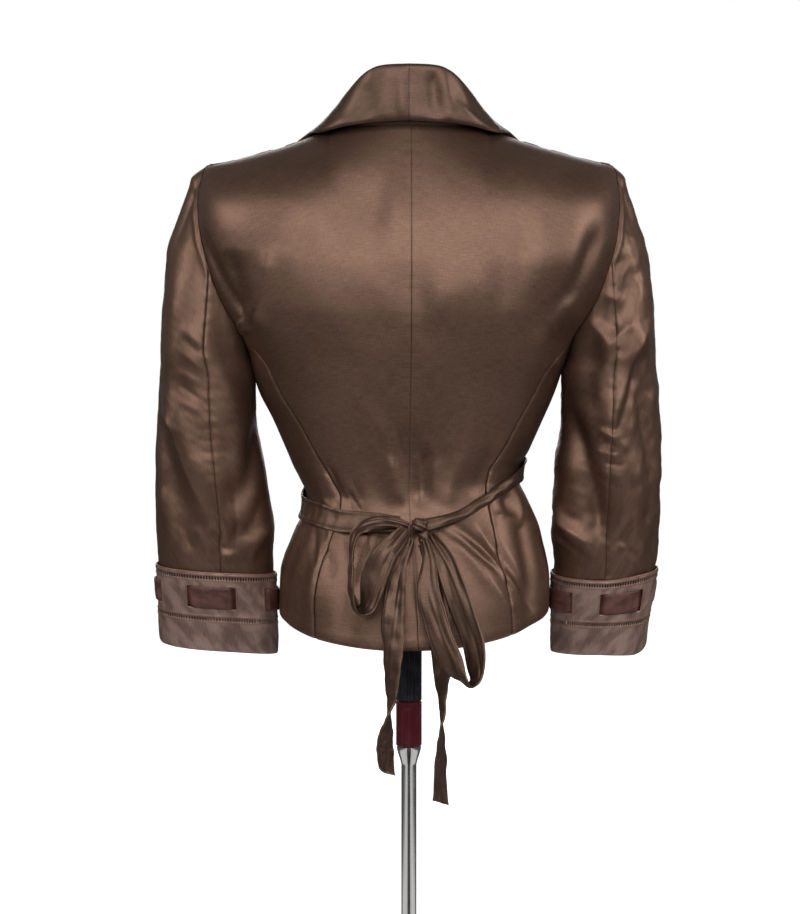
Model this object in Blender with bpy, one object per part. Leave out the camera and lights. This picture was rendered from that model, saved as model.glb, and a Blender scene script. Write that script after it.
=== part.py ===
# A short satin jacket with a shawl collar, laced cuffs and a tie belt, on a dress form with a stand.
# Every size is in millimetres until a point is placed. +Z is up, the jacket's back faces -Y and its front +Y.
# The origin is on the floor, under the middle of the stand's pole.
import math
from collections import namedtuple

import bmesh
import bpy
from mathutils import Vector

MM = 0.001

# Cloth
CLOTH = 1.8
RIBBON = 1.0
TIE = 1.4
SEAM_DEGREES = 0.07
SIDE_SEAM_DEGREES = 0.16

# Heights of the jacket above the floor
HEM_SIDE = 437.0
HEM_DIP_BACK = 24.0
HEM_DIP_FRONT = 15.0
HEM_LEFT_DROP = 5.0
HEM_EASE_TOP = 560.0
BREAK = 600.0
PRINCESS_TOP = 703.0
SHOULDER_TIP = 866.0
NECK = 905.0
NECK_HALF = 75.0

# Armhole: middle height, half height, and how far it bites into the back and front, in degrees round the body
ARMHOLE_MIDDLE = 778.0
ARMHOLE_HALF = 88.0
ARMHOLE_BITE_BACK = 14.0
ARMHOLE_BITE_FRONT = 19.0
ARMHOLE_LOW_BITE = 3.0
ARMHOLE_GAP = 1.7

# Front edges
FRONT_SEAM_DEGREES = 106.0
FRONT_SEAM_BEND = 640.0
FRONT_OVERLAP = 14.0
NECKLINE_REACH = 88.0
OVERLAP_LIFT = 3.8
OVERLAP_LIFT_FROM = 42.0
OVERLAP_LIFT_EASE = 26.0

# Squareness of the front's and the sleeves' sections: 2 is an ellipse
FRONT_SQUARE = 2.3
SLEEVE_SQUARE = 2.15

# The jacket's outer surface at each height: half widths to the left and right, depths to the back and front,
# and how square the back is
Section = namedtuple("Section", "z left right back front square")
BODY = (
    Section(405, 124, 135, 126, 112, 2.3),
    Section(446, 126, 136, 120.5, 111, 2.3),
    Section(476, 124.5, 134.8, 113, 107, 2.3),
    Section(490, 121, 132.5, 108, 105, 2.3),
    Section(505, 115, 128.5, 102, 102, 2.3),
    Section(520, 108.5, 124.5, 96, 99, 2.3),
    Section(534, 101, 118.5, 90, 97, 2.3),
    Section(549, 99.5, 112, 86, 96, 2.3),
    Section(564, 105.5, 106.3, 85, 97, 2.3),
    Section(577, 112, 107.5, 86, 99, 2.3),
    Section(592, 118, 116, 88, 103, 2.3),
    Section(621, 130.5, 129, 95, 113, 2.3),
    Section(650, 145, 141.5, 102, 122, 2.35),
    Section(674, 152, 149, 107, 127, 2.5),
    Section(699, 159, 158, 111, 127, 2.75),
    Section(735, 183, 182, 114, 119, 3.0),
    Section(770, 197, 196, 113, 107, 3.1),
    Section(800, 204, 203, 109, 95, 3.1),
    Section(830, 206, 205, 101, 82, 2.9),
    Section(852, 202.5, 202.5, 91, 70, 2.45),
    Section(866, 196, 197, 82, 60, 2.0),
    Section(870, 176, 181, 79.5, 54, 1.95),
    Section(877, 149, 154, 75.2, 47, 1.95),
    Section(885, 120, 125, 70.2, 40, 2.0),
    Section(893, 98, 100, 65.3, 34, 2.1),
    Section(905, NECK_HALF, NECK_HALF, 58, 28, 2.3),
)

# How the cloth rolls over the shoulders: what it starts from at SHOULDER_BASE, its depth at the neck, and the
# powers of its curve in the middle of the body and at the outside
SHOULDER_BASE = 770.0
SHOULDER_FROM = 790.0
SHOULDER_EASE = 60.0
SHOULDER_WIDE_TOP = 852.0
SHOULDER_OUTER = 140.0
SHOULDER_CLOSE = 40.0
SHOULDER_CLOSE_ROUND = 0.4
SHOULDER_GAP = 0.3
SHOULDER_NECK_GAP = 1.6
SHOULDER_NECK_EASE = 25.0
Shoulder = namedtuple("Shoulder", "depth square neck bow outer_bow roll outer_roll")
SHOULDERS = {
    "back": Shoulder(113, 3.1, 58, 1.7, 2.6, 1.3, 2.0),
    "front": Shoulder(107, FRONT_SQUARE, 28, 1.3, 2.0, 1.3, 2.0),
}
SHOULDER_SEAM = tuple(row for row in reversed(BODY) if row.z >= SHOULDER_TIP)

# Angle of the seam between the back and the side panel, from the centre back
Seam = namedtuple("Seam", "z degrees")
PRINCESS = (
    Seam(405, 44),
    Seam(446, 42),
    Seam(490, 39),
    Seam(520, 38),
    Seam(550, 40),
    Seam(580, 44),
    Seam(610, 49),
    Seam(641, 53.5),
    Seam(675, 60),
    Seam(703, 77.6),
)

# Large folds of the body: a ridge is a positive height, a trough a negative one
Fold = namedtuple("Fold", "top_degrees top_z low_degrees low_z width height")
BODY_FOLDS = (
    Fold(-67, 795, -57, 722, 13, -5.0),
    Fold(52, 800, 43, 730, 15, -4.0),
    Fold(-12, 632, -4, 548, 10, 3.2),
    Fold(9, 600, 6, 545, 9, -4.0),
    Fold(-44, 585, -34, 545, 8, -2.6),
    Fold(-22, 524, -27, 428, 12, -4.0),
    Fold(-40, 520, -45, 440, 11, 3.6),
    Fold(-66, 524, -72, 440, 13, -3.6),
    Fold(22, 520, 40, 430, 15, 4.2),
    Fold(58, 545, 56, 440, 14, -4.4),
    Fold(80, 550, 76, 450, 12, 3.0),
    Fold(-128, 530, -124, 440, 13, -4.0),
    Fold(-150, 526, -146, 432, 12, 3.4),
    Fold(126, 540, 122, 440, 13, -4.0),
    Fold(148, 530, 144, 432, 12, 3.4),
)

# How far a fold runs out past its ends, as a share of its length
FOLD_RUN_OUT = 0.25

# Sleeves: where the outer and inner lines lie at each height, the middle's depth and half the depth
SleeveSection = namedtuple("SleeveSection", "z outer inner middle_y half_depth")
SLEEVES = {
    "left": (
        SleeveSection(395, 239.5, 131, 9, 33),
        SleeveSection(447, 241.5, 131.5, 3, 35),
        SleeveSection(490, 244, 132, -1, 38),
        SleeveSection(519, 245.5, 131, -4, 42),
        SleeveSection(549, 245.5, 134.8, -6, 45),
        SleeveSection(578, 245, 139.5, -8, 48),
        SleeveSection(607, 244.5, 145, -7, 50),
        SleeveSection(636, 243.5, 148, -6, 52),
        SleeveSection(665, 241, 151.5, -4, 54),
        SleeveSection(694, 239.6, 160, -3, 56),
        SleeveSection(737, 236.6, 160, -3, 56),
        SleeveSection(781, 234.3, 160, -2, 54),
        SleeveSection(810, 227, 160, -1, 51),
        SleeveSection(839, 217, 160, 0, 47),
        SleeveSection(854, 211, 160, 0, 43),
        SleeveSection(866, 198, 160, 0, 38),
    ),
    "right": (
        SleeveSection(395, 228, 141, 9, 33),
        SleeveSection(447, 234.5, 141.5, 3, 35),
        SleeveSection(490, 240.5, 140.5, -1, 38),
        SleeveSection(519, 242.5, 138.2, -4, 42),
        SleeveSection(549, 243.5, 139.5, -6, 45),
        SleeveSection(578, 243.5, 141.4, -8, 48),
        SleeveSection(607, 243.2, 144.3, -7, 50),
        SleeveSection(636, 242, 147.3, -6, 52),
        SleeveSection(665, 239.8, 151, -4, 54),
        SleeveSection(694, 237.2, 159, -3, 56),
        SleeveSection(737, 235.8, 159, -3, 56),
        SleeveSection(781, 231, 159, -2, 54),
        SleeveSection(810, 223.5, 159, -1, 51),
        SleeveSection(839, 214.5, 159, 0, 47),
        SleeveSection(854, 209.5, 159, 0, 43),
        SleeveSection(866, 199, 159, 0, 38),
    ),
}
SLEEVE_FOLDS = {
    "left": (
        Fold(18, 640, 78, 505, 15, -6.5),
        Fold(48, 655, 100, 530, 13, 4.0),
        Fold(172, 620, 118, 545, 14, -5.0),
        Fold(150, 520, 112, 492, 9, 4.0),
        Fold(-60, 640, -120, 560, 15, -5.0),
    ),
    "right": (
        Fold(60, 760, 100, 700, 14, -5.0),
        Fold(64, 690, 40, 560, 13, -6.0),
        Fold(96, 650, 66, 520, 14, 4.5),
        Fold(150, 640, 96, 520, 14, -6.0),
        Fold(168, 545, 116, 500, 9, 4.0),
        Fold(-60, 640, -120, 560, 15, -5.0),
    ),
}
SLEEVE_BACK_SEAM = 96.0
SLEEVE_FRONT_SEAM = -100.0
SLEEVE_SEAM_GAP = 0.5
SLEEVE_CAP_EASE = 0.3
SLEEVE_END = 468.0

# Cuffs: a band round the sleeve's end, with slots for a woven ribbon
CuffEdge = namedtuple("CuffEdge", "turn top low")
CUFF_EDGES = {
    "left": (
        CuffEdge(0, 483, 406),
        CuffEdge(90, 477, 399),
        CuffEdge(180, 473, 393),
        CuffEdge(270, 479, 401),
        CuffEdge(360, 483, 406),
    ),
    "right": (
        CuffEdge(0, 479, 402),
        CuffEdge(50, 474, 394),
        CuffEdge(95, 469, 395),
        CuffEdge(180, 474, 395),
        CuffEdge(270, 478, 400),
        CuffEdge(360, 479, 402),
    ),
}
TurnShare = namedtuple("TurnShare", "share turn")
CUFF_HEIGHT = 78.0
CUFF_CLEAR = 3.2
CUFF_CLOTH = 1.6
CUFF_REPEATS = 4
CUFF_SHOWN = 0.53
CUFF_TURN = {"left": -0.012, "right": -0.06}
SLOT_WIDTH = 6.0
SLOT_HEIGHT = 24.0
SLOT_BELOW_TOP = 25.0
RIBBON_HEIGHT = 20.0
RIBBON_OUT = 1.8
RIBBON_IN = -2.5
# Degrees left free at a seam of the cuff and at each end of its ribbon
CUFF_SEAM_GAP = 0.4
RIBBON_END_GAP = 1.0

# Collar, from the centre back round the neck and down the front: the neck seam's angle or height, the roll's
# point and the outer edge's point
CollarRow = namedtuple("CollarRow", "seam_degrees seam_z roll_x roll_y roll_z edge_x edge_y edge_z")
COLLAR_BACK_ROWS = 4
COLLAR = (
    CollarRow(0, 905, 0, -63, 961, 0, -70, 908),
    CollarRow(30, 905, 33.5, -59, 957.5, 47, -67, 905),
    CollarRow(62, 905, 54.5, -37, 937.5, 84, -44, 898),
    CollarRow(90, 905, 64, -3, 915.5, 101, 6, 896),
    CollarRow(90, 886, 70, 44, 896, 127, 58, 868),
    CollarRow(90, 830, 53, 91, 833, 128, 86, 815),
    CollarRow(90, 745, 27.5, 125, 747, 100, 111, 728),
    CollarRow(90, 657, 3.5, 134, 660, 22, 130, 652),
)
ROLL_HALF = 3.6
ROLL_DROP = 2.4
SEAM_LIFT = 1.6
COLLAR_CLEAR = 3.2
COLLAR_REST = 5.6
COLLAR_FRONT_FROM = 20.0
COLLAR_CENTRE_GAP = 0.25

# Belt: the height of its middle and half its width round the body, and how far it stands off the cloth
BeltRow = namedtuple("BeltRow", "degrees z half_width off")
BELT = {
    "right": (
        BeltRow(9.5, 531, 6, 9),
        BeltRow(18, 536, 5, 6),
        BeltRow(34, 549, 5, 4.5),
        BeltRow(56, 563, 6, 4.5),
        BeltRow(90, 574, 9, 4.5),
        BeltRow(130, 577, 11, 4.5),
        BeltRow(179.6, 573, 11, 8.5),
    ),
    "left": (
        BeltRow(-3, 530, 7, 9),
        BeltRow(-14, 531, 9, 6),
        BeltRow(-30, 531, 10, 4.5),
        BeltRow(-55, 536, 10.5, 4.5),
        BeltRow(-90, 540, 10.5, 4.5),
        BeltRow(-130, 557, 11, 4.5),
        BeltRow(-179.6, 573, 11, 8.5),
    ),
}

# Bow: stations along each strip. Roll 0 faces the back, 90 is edge on
TieRow = namedtuple("TieRow", "x y z width roll")
BOW_KNOT = TieRow(12, -103, 527, 20, 0)
KNOT_DEPTH = 15.0
KNOT_HEIGHT = 18.0
KNOT_PINCH = 0.18
BOW = {
    "bow_loop_left": (
        TieRow(-1, -104, 527, 9, 5),
        TieRow(-17, -106, 532, 10, 15),
        TieRow(-38, -109, 531, 13, 30),
        TieRow(-50, -113, 521, 18, 55),
        TieRow(-53, -119, 499, 21, 70),
        TieRow(-54, -125, 474, 23, 76),
        TieRow(-49, -132, 452, 24, 90),
        TieRow(-38, -133, 456, 27, 118),
        TieRow(-33, -137, 484, 33, 158),
        TieRow(-22, -136, 509, 30, 172),
        TieRow(-4, -118, 526, 12, 176),
    ),
    "bow_loop_right": (
        TieRow(11, -112, 518, 9, 0),
        TieRow(14, -124, 499, 17, 4),
        TieRow(15, -133, 472, 22, 8),
        TieRow(24, -139, 441, 24, 14),
        TieRow(37, -144, 409, 24, 30),
        TieRow(48, -148, 390, 24, 66),
        TieRow(57, -149, 385, 24, 92),
        TieRow(63, -147, 395, 24, 122),
        TieRow(62, -142, 424, 24, 150),
        TieRow(51, -137, 460, 24, 164),
        TieRow(38, -129, 494, 21, 172),
        TieRow(20, -110, 520, 9, 178),
    ),
    "tie_end_left": (
        TieRow(2, -113, 516, 9, 0),
        TieRow(-5, -122, 497, 16, 10),
        TieRow(-11, -129, 472, 22, 14),
        TieRow(-15, -135, 443, 24, 6),
        TieRow(-16, -139, 413, 24, 40),
        TieRow(-17, -140, 383, 24, 62),
        TieRow(-19, -140, 360, 24, 90),
        TieRow(-22, -140, 340, 24, 120),
        TieRow(-23, -139, 320, 24, 124),
        TieRow(-22, -139, 301, 24, 122),
    ),
    "tie_end_right": (
        TieRow(10, -111, 513, 8, 0),
        TieRow(15, -119, 495, 13, 4),
        TieRow(22, -125, 468, 18, 6),
        TieRow(28, -131, 437, 21, 10),
        TieRow(30, -131, 410, 22, 28),
        TieRow(29, -124.5, 381, 23, 62),
        TieRow(30, -127, 359, 24, 78),
        TieRow(30, -131, 345, 24, 90),
        TieRow(29, -131, 326, 24, 106),
        TieRow(28, -131, 300, 24, 118),
        TieRow(29, -131, 271, 24, 128),
    ),
}

# Dress form and stand
FORM_INSET = 10.0
FORM_ARM_INSET = 22.0
FORM_ARM_LOW = 660.0
FORM_ARM_TOP = 862.0
FORM_SHOULDER = 840.0
FORM_SHOULDER_DROP = 9.0
FORM_LOW = 430.0
FORM_NECK_Y = -4.0
FORM_NECK = ((50.0, 912.0), (50.0, 940.0), (46.5, 944.0))
POST_RADIUS = 12.6
POST_BLACK_LOW = 347.5
POST_RED_LOW = 303.0
SWAGE_LOW = 284.0
SWAGE_TOP = 300.6
SWAGE_RADIUS = 12.0
POLE_RADIUS = 7.5
BASE_RADIUS = 165.0
BASE_HEIGHT = 9.0
BASE_EDGE = 3.0
SOCKET_RADIUS = 15.0
SOCKET_HEIGHT = 26.0
SOCKET_EDGE = 1.0
PART_GAP = 0.4

# Mesh detail
FORM_LEVELS = (
    430, 470, 505, 540, 570, 600, 630, 665, 700, 740, 780, 815, 840, 856, 868, 880, 892,
)
BODY_LEVELS = (
    437, 452, 470, 488, 506, 522, 536, 550, 564, 580, 600, 625, 650, 676, 703,
    725, 750, 778, 805, 828, 845, 856, 862, 866, 872, 882, 893, 905,
)
SIDE_ROWS = 14
BACK_COLUMNS = 8
SIDE_COLUMNS = 6
FRONT_COLUMNS = 8
SLEEVE_ROWS = 17
SLEEVE_TOP_COLUMNS = 10
SLEEVE_UNDER_COLUMNS = 8
COLLAR_ROWS = 18
COLLAR_COLUMNS = 7
COLLAR_FALL_COLUMN = 3
BELT_ROWS = 16
TIE_ROWS = 20
FORM_SEGMENTS = 28
ROUND_SEGMENTS = 24
BASE_SEGMENTS = 40

COLOURS = {
    "satin": ((0.12, 0.075, 0.05), 0.4, 0.2),
    "cuff_satin": ((0.14, 0.08, 0.055), 0.5, 0.1),
    "leather": ((0.09, 0.03, 0.022), 0.6, 0.0),
    "form_cloth": ((0.72, 0.69, 0.64), 0.85, 0.0),
    "black_lacquer": ((0.01, 0.01, 0.013), 0.2, 0.0),
    "red_lacquer": ((0.1, 0.01, 0.016), 0.2, 0.0),
    "chrome": ((0.75, 0.74, 0.73), 0.12, 1.0),
}


def clear_scene():
    for thing in list(bpy.data.objects):
        bpy.data.objects.remove(thing, do_unlink=True)


def material(name):
    found = bpy.data.materials.get(name)
    if found:
        return found
    colour, roughness, metallic = COLOURS[name]
    made = bpy.data.materials.new(name)
    made.use_nodes = True
    shader = made.node_tree.nodes["Principled BSDF"]
    shader.inputs["Base Color"].default_value = (*colour, 1.0)
    shader.inputs["Roughness"].default_value = roughness
    shader.inputs["Metallic"].default_value = metallic
    return made


def add_object(name, mesh, material_name):
    data = bpy.data.meshes.new(name)
    mesh.to_mesh(data)
    mesh.free()
    data.shade_smooth()
    data.materials.append(material(material_name))
    made = bpy.data.objects.new(name, data)
    bpy.context.scene.collection.objects.link(made)
    return made


# Smooth values

def smoothstep(value):
    value = min(1.0, max(0.0, value))
    return value * value * (3.0 - 2.0 * value)


def mix(first, second, share):
    return first + (second - first) * share


def along(table, key, column, at):
    """The smooth value of a table's column where its key column is at: cubic steps that don't overshoot."""
    keys = [getattr(row, key) for row in table]
    values = [getattr(row, column) for row in table]
    if keys[0] > keys[-1]:
        keys.reverse()
        values.reverse()
    if at <= keys[0]:
        return values[0]
    if at >= keys[-1]:
        return values[-1]
    step = next(i for i in range(len(keys) - 1) if at <= keys[i + 1])
    slopes = [(values[i + 1] - values[i]) / (keys[i + 1] - keys[i]) for i in range(len(keys) - 1)]

    def tangent(i):
        if i in (0, len(keys) - 1):
            return slopes[0] if i == 0 else slopes[-1]
        before, after = slopes[i - 1], slopes[i]
        return 0.0 if before * after <= 0 else 2.0 * before * after / (before + after)

    width = keys[step + 1] - keys[step]
    t = (at - keys[step]) / width
    return (
        values[step] * (1 + 2 * t) * (1 - t) ** 2
        + tangent(step) * width * t * (1 - t) ** 2
        + values[step + 1] * t * t * (3 - 2 * t)
        + tangent(step + 1) * width * t * t * (t - 1)
    )


def through(rows, column, share):
    """The smooth value of a column at a share of the way through evenly spaced rows, by Catmull-Rom."""
    last = len(rows) - 1
    place = min(last - 1e-9, max(0.0, share * last))
    i = int(place)
    t = place - i
    p0, p1, p2, p3 = (getattr(rows[min(last, max(0, i + k))], column) for k in (-1, 0, 1, 2))
    return p1 + 0.5 * t * (p2 - p0 + t * (2 * p0 - 5 * p1 + 4 * p2 - p3 + t * (3 * (p1 - p2) + p3 - p0)))


def fold_height(folds, degrees, z, radius):
    """How far the folds move a point out, where radius turns degrees into a length."""
    total = 0.0
    for fold in folds:
        t = (fold.top_z - z) / (fold.top_z - fold.low_z)
        middle = mix(fold.top_degrees, fold.low_degrees, t)
        across = math.radians((degrees - middle + 180) % 360 - 180) * radius / fold.width
        fade = smoothstep((t + FOLD_RUN_OUT) * 2) * smoothstep((1 + FOLD_RUN_OUT - t) * 2)
        total += fold.height * math.exp(-across * across) * fade
    return total


# The body's outer surface

def turned(value, power):
    return math.copysign(abs(value) ** power, value)


def body(degrees, z, out=0.0, folded=True):
    """A point of the jacket's surface: degrees from the centre back, positive to the right."""
    degrees = (degrees + 180) % 360 - 180
    angle = math.radians(degrees)
    side = "right" if degrees >= 0 else "left"
    face = "back" if abs(degrees) <= 90 else "front"
    width = along(BODY, "z", side, z)
    depth = along(BODY, "z", face, z)
    power = 2.0 / (along(BODY, "z", "square", z) if face == "back" else FRONT_SQUARE)
    x = width * turned(math.sin(angle), power)
    y = -depth * turned(math.cos(angle), power)
    normal = Vector((x / width ** 2, y / depth ** 2, 0)).normalized()
    rolled = smoothstep((z - SHOULDER_FROM) / SHOULDER_EASE)
    if rolled:
        gap = mix(SHOULDER_NECK_GAP, SHOULDER_GAP, smoothstep((abs(x) - NECK_HALF) / SHOULDER_NECK_EASE))
        reach = max(gap, shoulder_depth(abs(x), z, side, face))
        y = mix(y, math.copysign(reach, y), rolled)
    if folded:
        out += fold_height(BODY_FOLDS, degrees, z, 0.5 * (width + depth))
    return Vector((x, y, z)) + normal * out


def oval(share, square):
    return max(0.0, 1 - share ** square) ** (1 / square)


def shoulder_depth(x, z, side, face):
    """How far the rolled cloth of a shoulder lies behind or in front of the shoulder seam."""
    shape = SHOULDERS[face]
    outer = smoothstep(x / SHOULDER_OUTER)
    bow = mix(shape.bow, shape.outer_bow, outer)
    roll = mix(shape.roll, shape.outer_roll, outer)
    wide = along(BODY, "z", side, min(z, SHOULDER_WIDE_TOP))
    full = shape.depth * oval(min(1.0, x / wide), shape.square)
    if x < NECK_HALF:
        neck = shape.neck * oval(x / NECK_HALF, FRONT_SQUARE)
        top = (NECK - SHOULDER_BASE) / (1 - (neck / full) ** roll) ** (1 / bow)
    else:
        top = along(SHOULDER_SEAM, side, "z", x) - SHOULDER_BASE
    risen = min(1.0, (z - SHOULDER_BASE) / top)
    close = 1 - min(1.0, x / along(BODY, "z", side, z)) ** SHOULDER_CLOSE
    return full * (1 - risen ** bow) ** (1 / roll) * close ** SHOULDER_CLOSE_ROUND


def spread(degrees, z, back_again=False):
    """Changes an angle so that equal steps are nearly equal lengths round the section, or back again."""
    start = 180 if degrees > 90 else 0
    square = FRONT_SQUARE if start else along(BODY, "z", "square", z)
    power = square / 2 if back_again else 2 / square
    angle = math.radians(abs(degrees - start))
    even = math.degrees(math.atan2(math.sin(angle) ** power, math.cos(angle) ** power))
    return start + math.copysign(even, degrees - start)


def degrees_at(x, z, side):
    """The angle from the centre back of a front point at this x, where x is positive on its own side."""
    width = along(BODY, "z", side, z)
    return 180 - math.degrees(math.asin(turned(x / width, FRONT_SQUARE / 2)))


def hem(degrees):
    dip = HEM_DIP_BACK if abs(degrees) < 90 else HEM_DIP_FRONT
    drop = HEM_LEFT_DROP * max(0.0, -math.sin(math.radians(degrees)))
    return HEM_SIDE - drop - dip * math.cos(math.radians(degrees)) ** 2


def lowered(level, degrees):
    """The height of a level of the body, which follows the hem near the hem."""
    share = (HEM_EASE_TOP - level) / (HEM_EASE_TOP - HEM_SIDE)
    return level + (hem(degrees) - HEM_SIDE) * max(0.0, share)


def armhole_degrees(turn, bite):
    """The armhole's angle from the centre back or front: turn is 0 at the shoulder and 180 under the arm."""
    sine = abs(math.sin(math.radians(turn)))
    low = 1 - math.cos(math.radians(turn))
    return 90 - bite * sine ** 0.6 - ARMHOLE_LOW_BITE * sine * low


def armhole_at(z, bite):
    share = (z - ARMHOLE_MIDDLE) / ARMHOLE_HALF
    return armhole_degrees(math.degrees(math.acos(min(1.0, max(-1.0, share)))), bite)


def back_limit(z):
    """Where the back panel ends, going round from the centre back."""
    if z <= PRINCESS_TOP:
        return along(PRINCESS, "z", "degrees", z)
    return armhole_at(z, ARMHOLE_BITE_BACK) if z < SHOULDER_TIP else 90.0


def front_limit(z):
    """Where the front panel begins, as degrees from the centre back."""
    if z <= PRINCESS_TOP:
        rise = smoothstep((z - FRONT_SEAM_BEND) / (PRINCESS_TOP - FRONT_SEAM_BEND))
        return mix(FRONT_SEAM_DEGREES, 180 - armhole_at(PRINCESS_TOP, ARMHOLE_BITE_FRONT), rise ** 2)
    return 180 - armhole_at(z, ARMHOLE_BITE_FRONT) if z < SHOULDER_TIP else 90.0


def neckline_x(z):
    """How far the front edge lies from the centre front: negative past it, in the overlap."""
    share = max(0.0, (z - BREAK) / (NECK - BREAK))
    return NECKLINE_REACH * share ** 0.95 - FRONT_OVERLAP


def overlap_lift(x, side):
    if side == "left":
        return 0.0
    return OVERLAP_LIFT * smoothstep((OVERLAP_LIFT_FROM - x) / OVERLAP_LIFT_EASE)


def front_y(x, z, side):
    """How far forward the front panel's outer face lies at a point of its own side."""
    x = min(x, along(BODY, "z", side, z))
    return body(side_sign(side) * degrees_at(x, z, side), z, folded=False).y + overlap_lift(x, side)


def side_sign(side):
    return 1 if side == "right" else -1


def back_panel(side):
    def place(u, v):
        level = level_at(v)
        z = lowered(level, side_sign(side) * u * back_limit(level))
        even = mix(SEAM_DEGREES, spread(back_limit(z), z) - SEAM_DEGREES, u)
        return body(side_sign(side) * spread(even, z, back_again=True), z)

    return place


def side_panel(side):
    def place(u, v):
        level = level_at(v * SIDE_ROWS / (len(BODY_LEVELS) - 1))
        turn = 180 - (180 - turn_at(PRINCESS_TOP)) * abs(2 * u - 1)
        dip = PRINCESS_TOP - ARMHOLE_MIDDLE - ARMHOLE_HALF * math.cos(math.radians(turn))
        z = lowered(level, side_sign(side) * mix(back_limit(level), front_limit(level), u))
        degrees = mix(back_limit(z) + SIDE_SEAM_DEGREES, front_limit(z) - SIDE_SEAM_DEGREES, u)
        return body(side_sign(side) * degrees, z - dip * smoothstep(2 * v - 1))

    return place


def turn_at(z):
    return math.degrees(math.acos((z - ARMHOLE_MIDDLE) / ARMHOLE_HALF))


def front_panel(side):
    def place(u, v):
        level = level_at(v)
        z = lowered(level, side_sign(side) * 150)
        edge = degrees_at(neckline_x(z), z, side)
        first = front_limit(z) + SEAM_DEGREES
        degrees = mix(first, edge, u)
        z = lowered(level, side_sign(side) * min(180.0, degrees))
        point = body(side_sign(side) * degrees, z)
        return point + Vector((0, overlap_lift(side_sign(side) * point.x, side), 0))

    return place


def level_at(v):
    """The body's level at a share of the rows, so that a row lies on each named level."""
    place = v * (len(BODY_LEVELS) - 1)
    i = min(len(BODY_LEVELS) - 2, max(0, int(place)))
    return mix(BODY_LEVELS[i], BODY_LEVELS[i + 1], place - i)


# Sleeves

def sleeve_section(side, turn, z, out=0.0):
    """A point of the sleeve at a height: turn is 0 on the outside, 90 at the back and 180 on the inside."""
    table = SLEEVES[side]
    outer, inner = (along(table, "z", column, z) for column in ("outer", "inner"))
    half_depth = along(table, "z", "half_depth", z)
    half_width = (outer - inner) / 2
    angle = math.radians(turn)
    power = 2.0 / SLEEVE_SQUARE
    x = half_width * turned(math.cos(angle), power)
    y = -half_depth * turned(math.sin(angle), power)
    normal = Vector((x / half_width ** 2, y / half_depth ** 2, 0)).normalized()
    out += fold_height(SLEEVE_FOLDS[side], turn, z, 0.5 * (half_width + half_depth))
    point = Vector(((outer + inner) / 2 + x, along(table, "z", "middle_y", z) + y, z)) + normal * out
    point.x *= side_sign(side)
    return point


def armhole_point(side, turn):
    z = ARMHOLE_MIDDLE + ARMHOLE_HALF * math.cos(math.radians(turn))
    if turn >= 0:
        degrees = armhole_degrees(turn, ARMHOLE_BITE_BACK)
    else:
        degrees = 180 - armhole_degrees(turn, ARMHOLE_BITE_FRONT)
    return body(side_sign(side) * degrees, z) + Vector((side_sign(side) * ARMHOLE_GAP, 0, 0))


def sleeve_point(side, turn, v):
    """A point of the sleeve, from the armhole at v 0 to the cuff at v 1."""
    turn = (turn + 180) % 360 - 180
    start = armhole_point(side, turn)
    eased = v ** 1.1
    z = mix(start.z, SLEEVE_END, eased)
    offset = start - sleeve_section(side, turn, start.z)
    offset.z = 0
    return sleeve_section(side, turn, z) + offset * (1 - smoothstep(eased / SLEEVE_CAP_EASE))


def sleeve_panel(side, first, last):
    def place(u, v):
        turn = mix(first + SLEEVE_SEAM_GAP, last - SLEEVE_SEAM_GAP, u)
        return sleeve_point(side, turn, v)

    return place


# Cuffs

def cuff_point(side, turn, v, out):
    """A point of a cuff, from its low edge at v 0 to its top edge at v 1."""
    edges = CUFF_EDGES[side]
    z = mix(along(edges, "turn", "low", turn % 360), along(edges, "turn", "top", turn % 360), v)
    return sleeve_section(side, turn, z, CUFF_CLEAR + out)


def cuff_share(below_top):
    return 1 - below_top / CUFF_HEIGHT


def cuff_turns(side):
    """The turn at each share of the way round a cuff, so that its pattern is even along the cloth."""
    points = [cuff_point(side, degree, cuff_share(SLOT_BELOW_TOP), 0) for degree in range(361)]
    lengths = [0.0]
    for before, after in zip(points, points[1:]):
        lengths.append(lengths[-1] + (after - before).length)
    return [TurnShare(length / lengths[-1], degree) for degree, length in enumerate(lengths)], lengths[-1]


def cuff_stations(side):
    """Turns round a cuff from the middle of one hidden run, and whether a slot follows each turn."""
    table, around = cuff_turns(side)
    step = 1 / CUFF_REPEATS
    slot = SLOT_WIDTH / around / 2
    shown = CUFF_SHOWN * step / 2
    quarter = [-step / 2, -(step / 2 + shown + slot) / 2, -shown - slot]
    quarter += [mix(slot - shown, shown - slot, i / 4) for i in range(5)]
    quarter += [shown + slot, (step / 2 + shown + slot) / 2]
    stations = []
    for repeat in range(CUFF_REPEATS):
        for index, share in enumerate(quarter):
            place = (repeat + 1) * step + share + CUFF_TURN[side]
            turn = along(table, "share", "turn", place % 1) + 360 * math.floor(place)
            stations.append((turn, index in (2, 7)))
    return stations + [(stations[0][0] + 360, False)]


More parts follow.
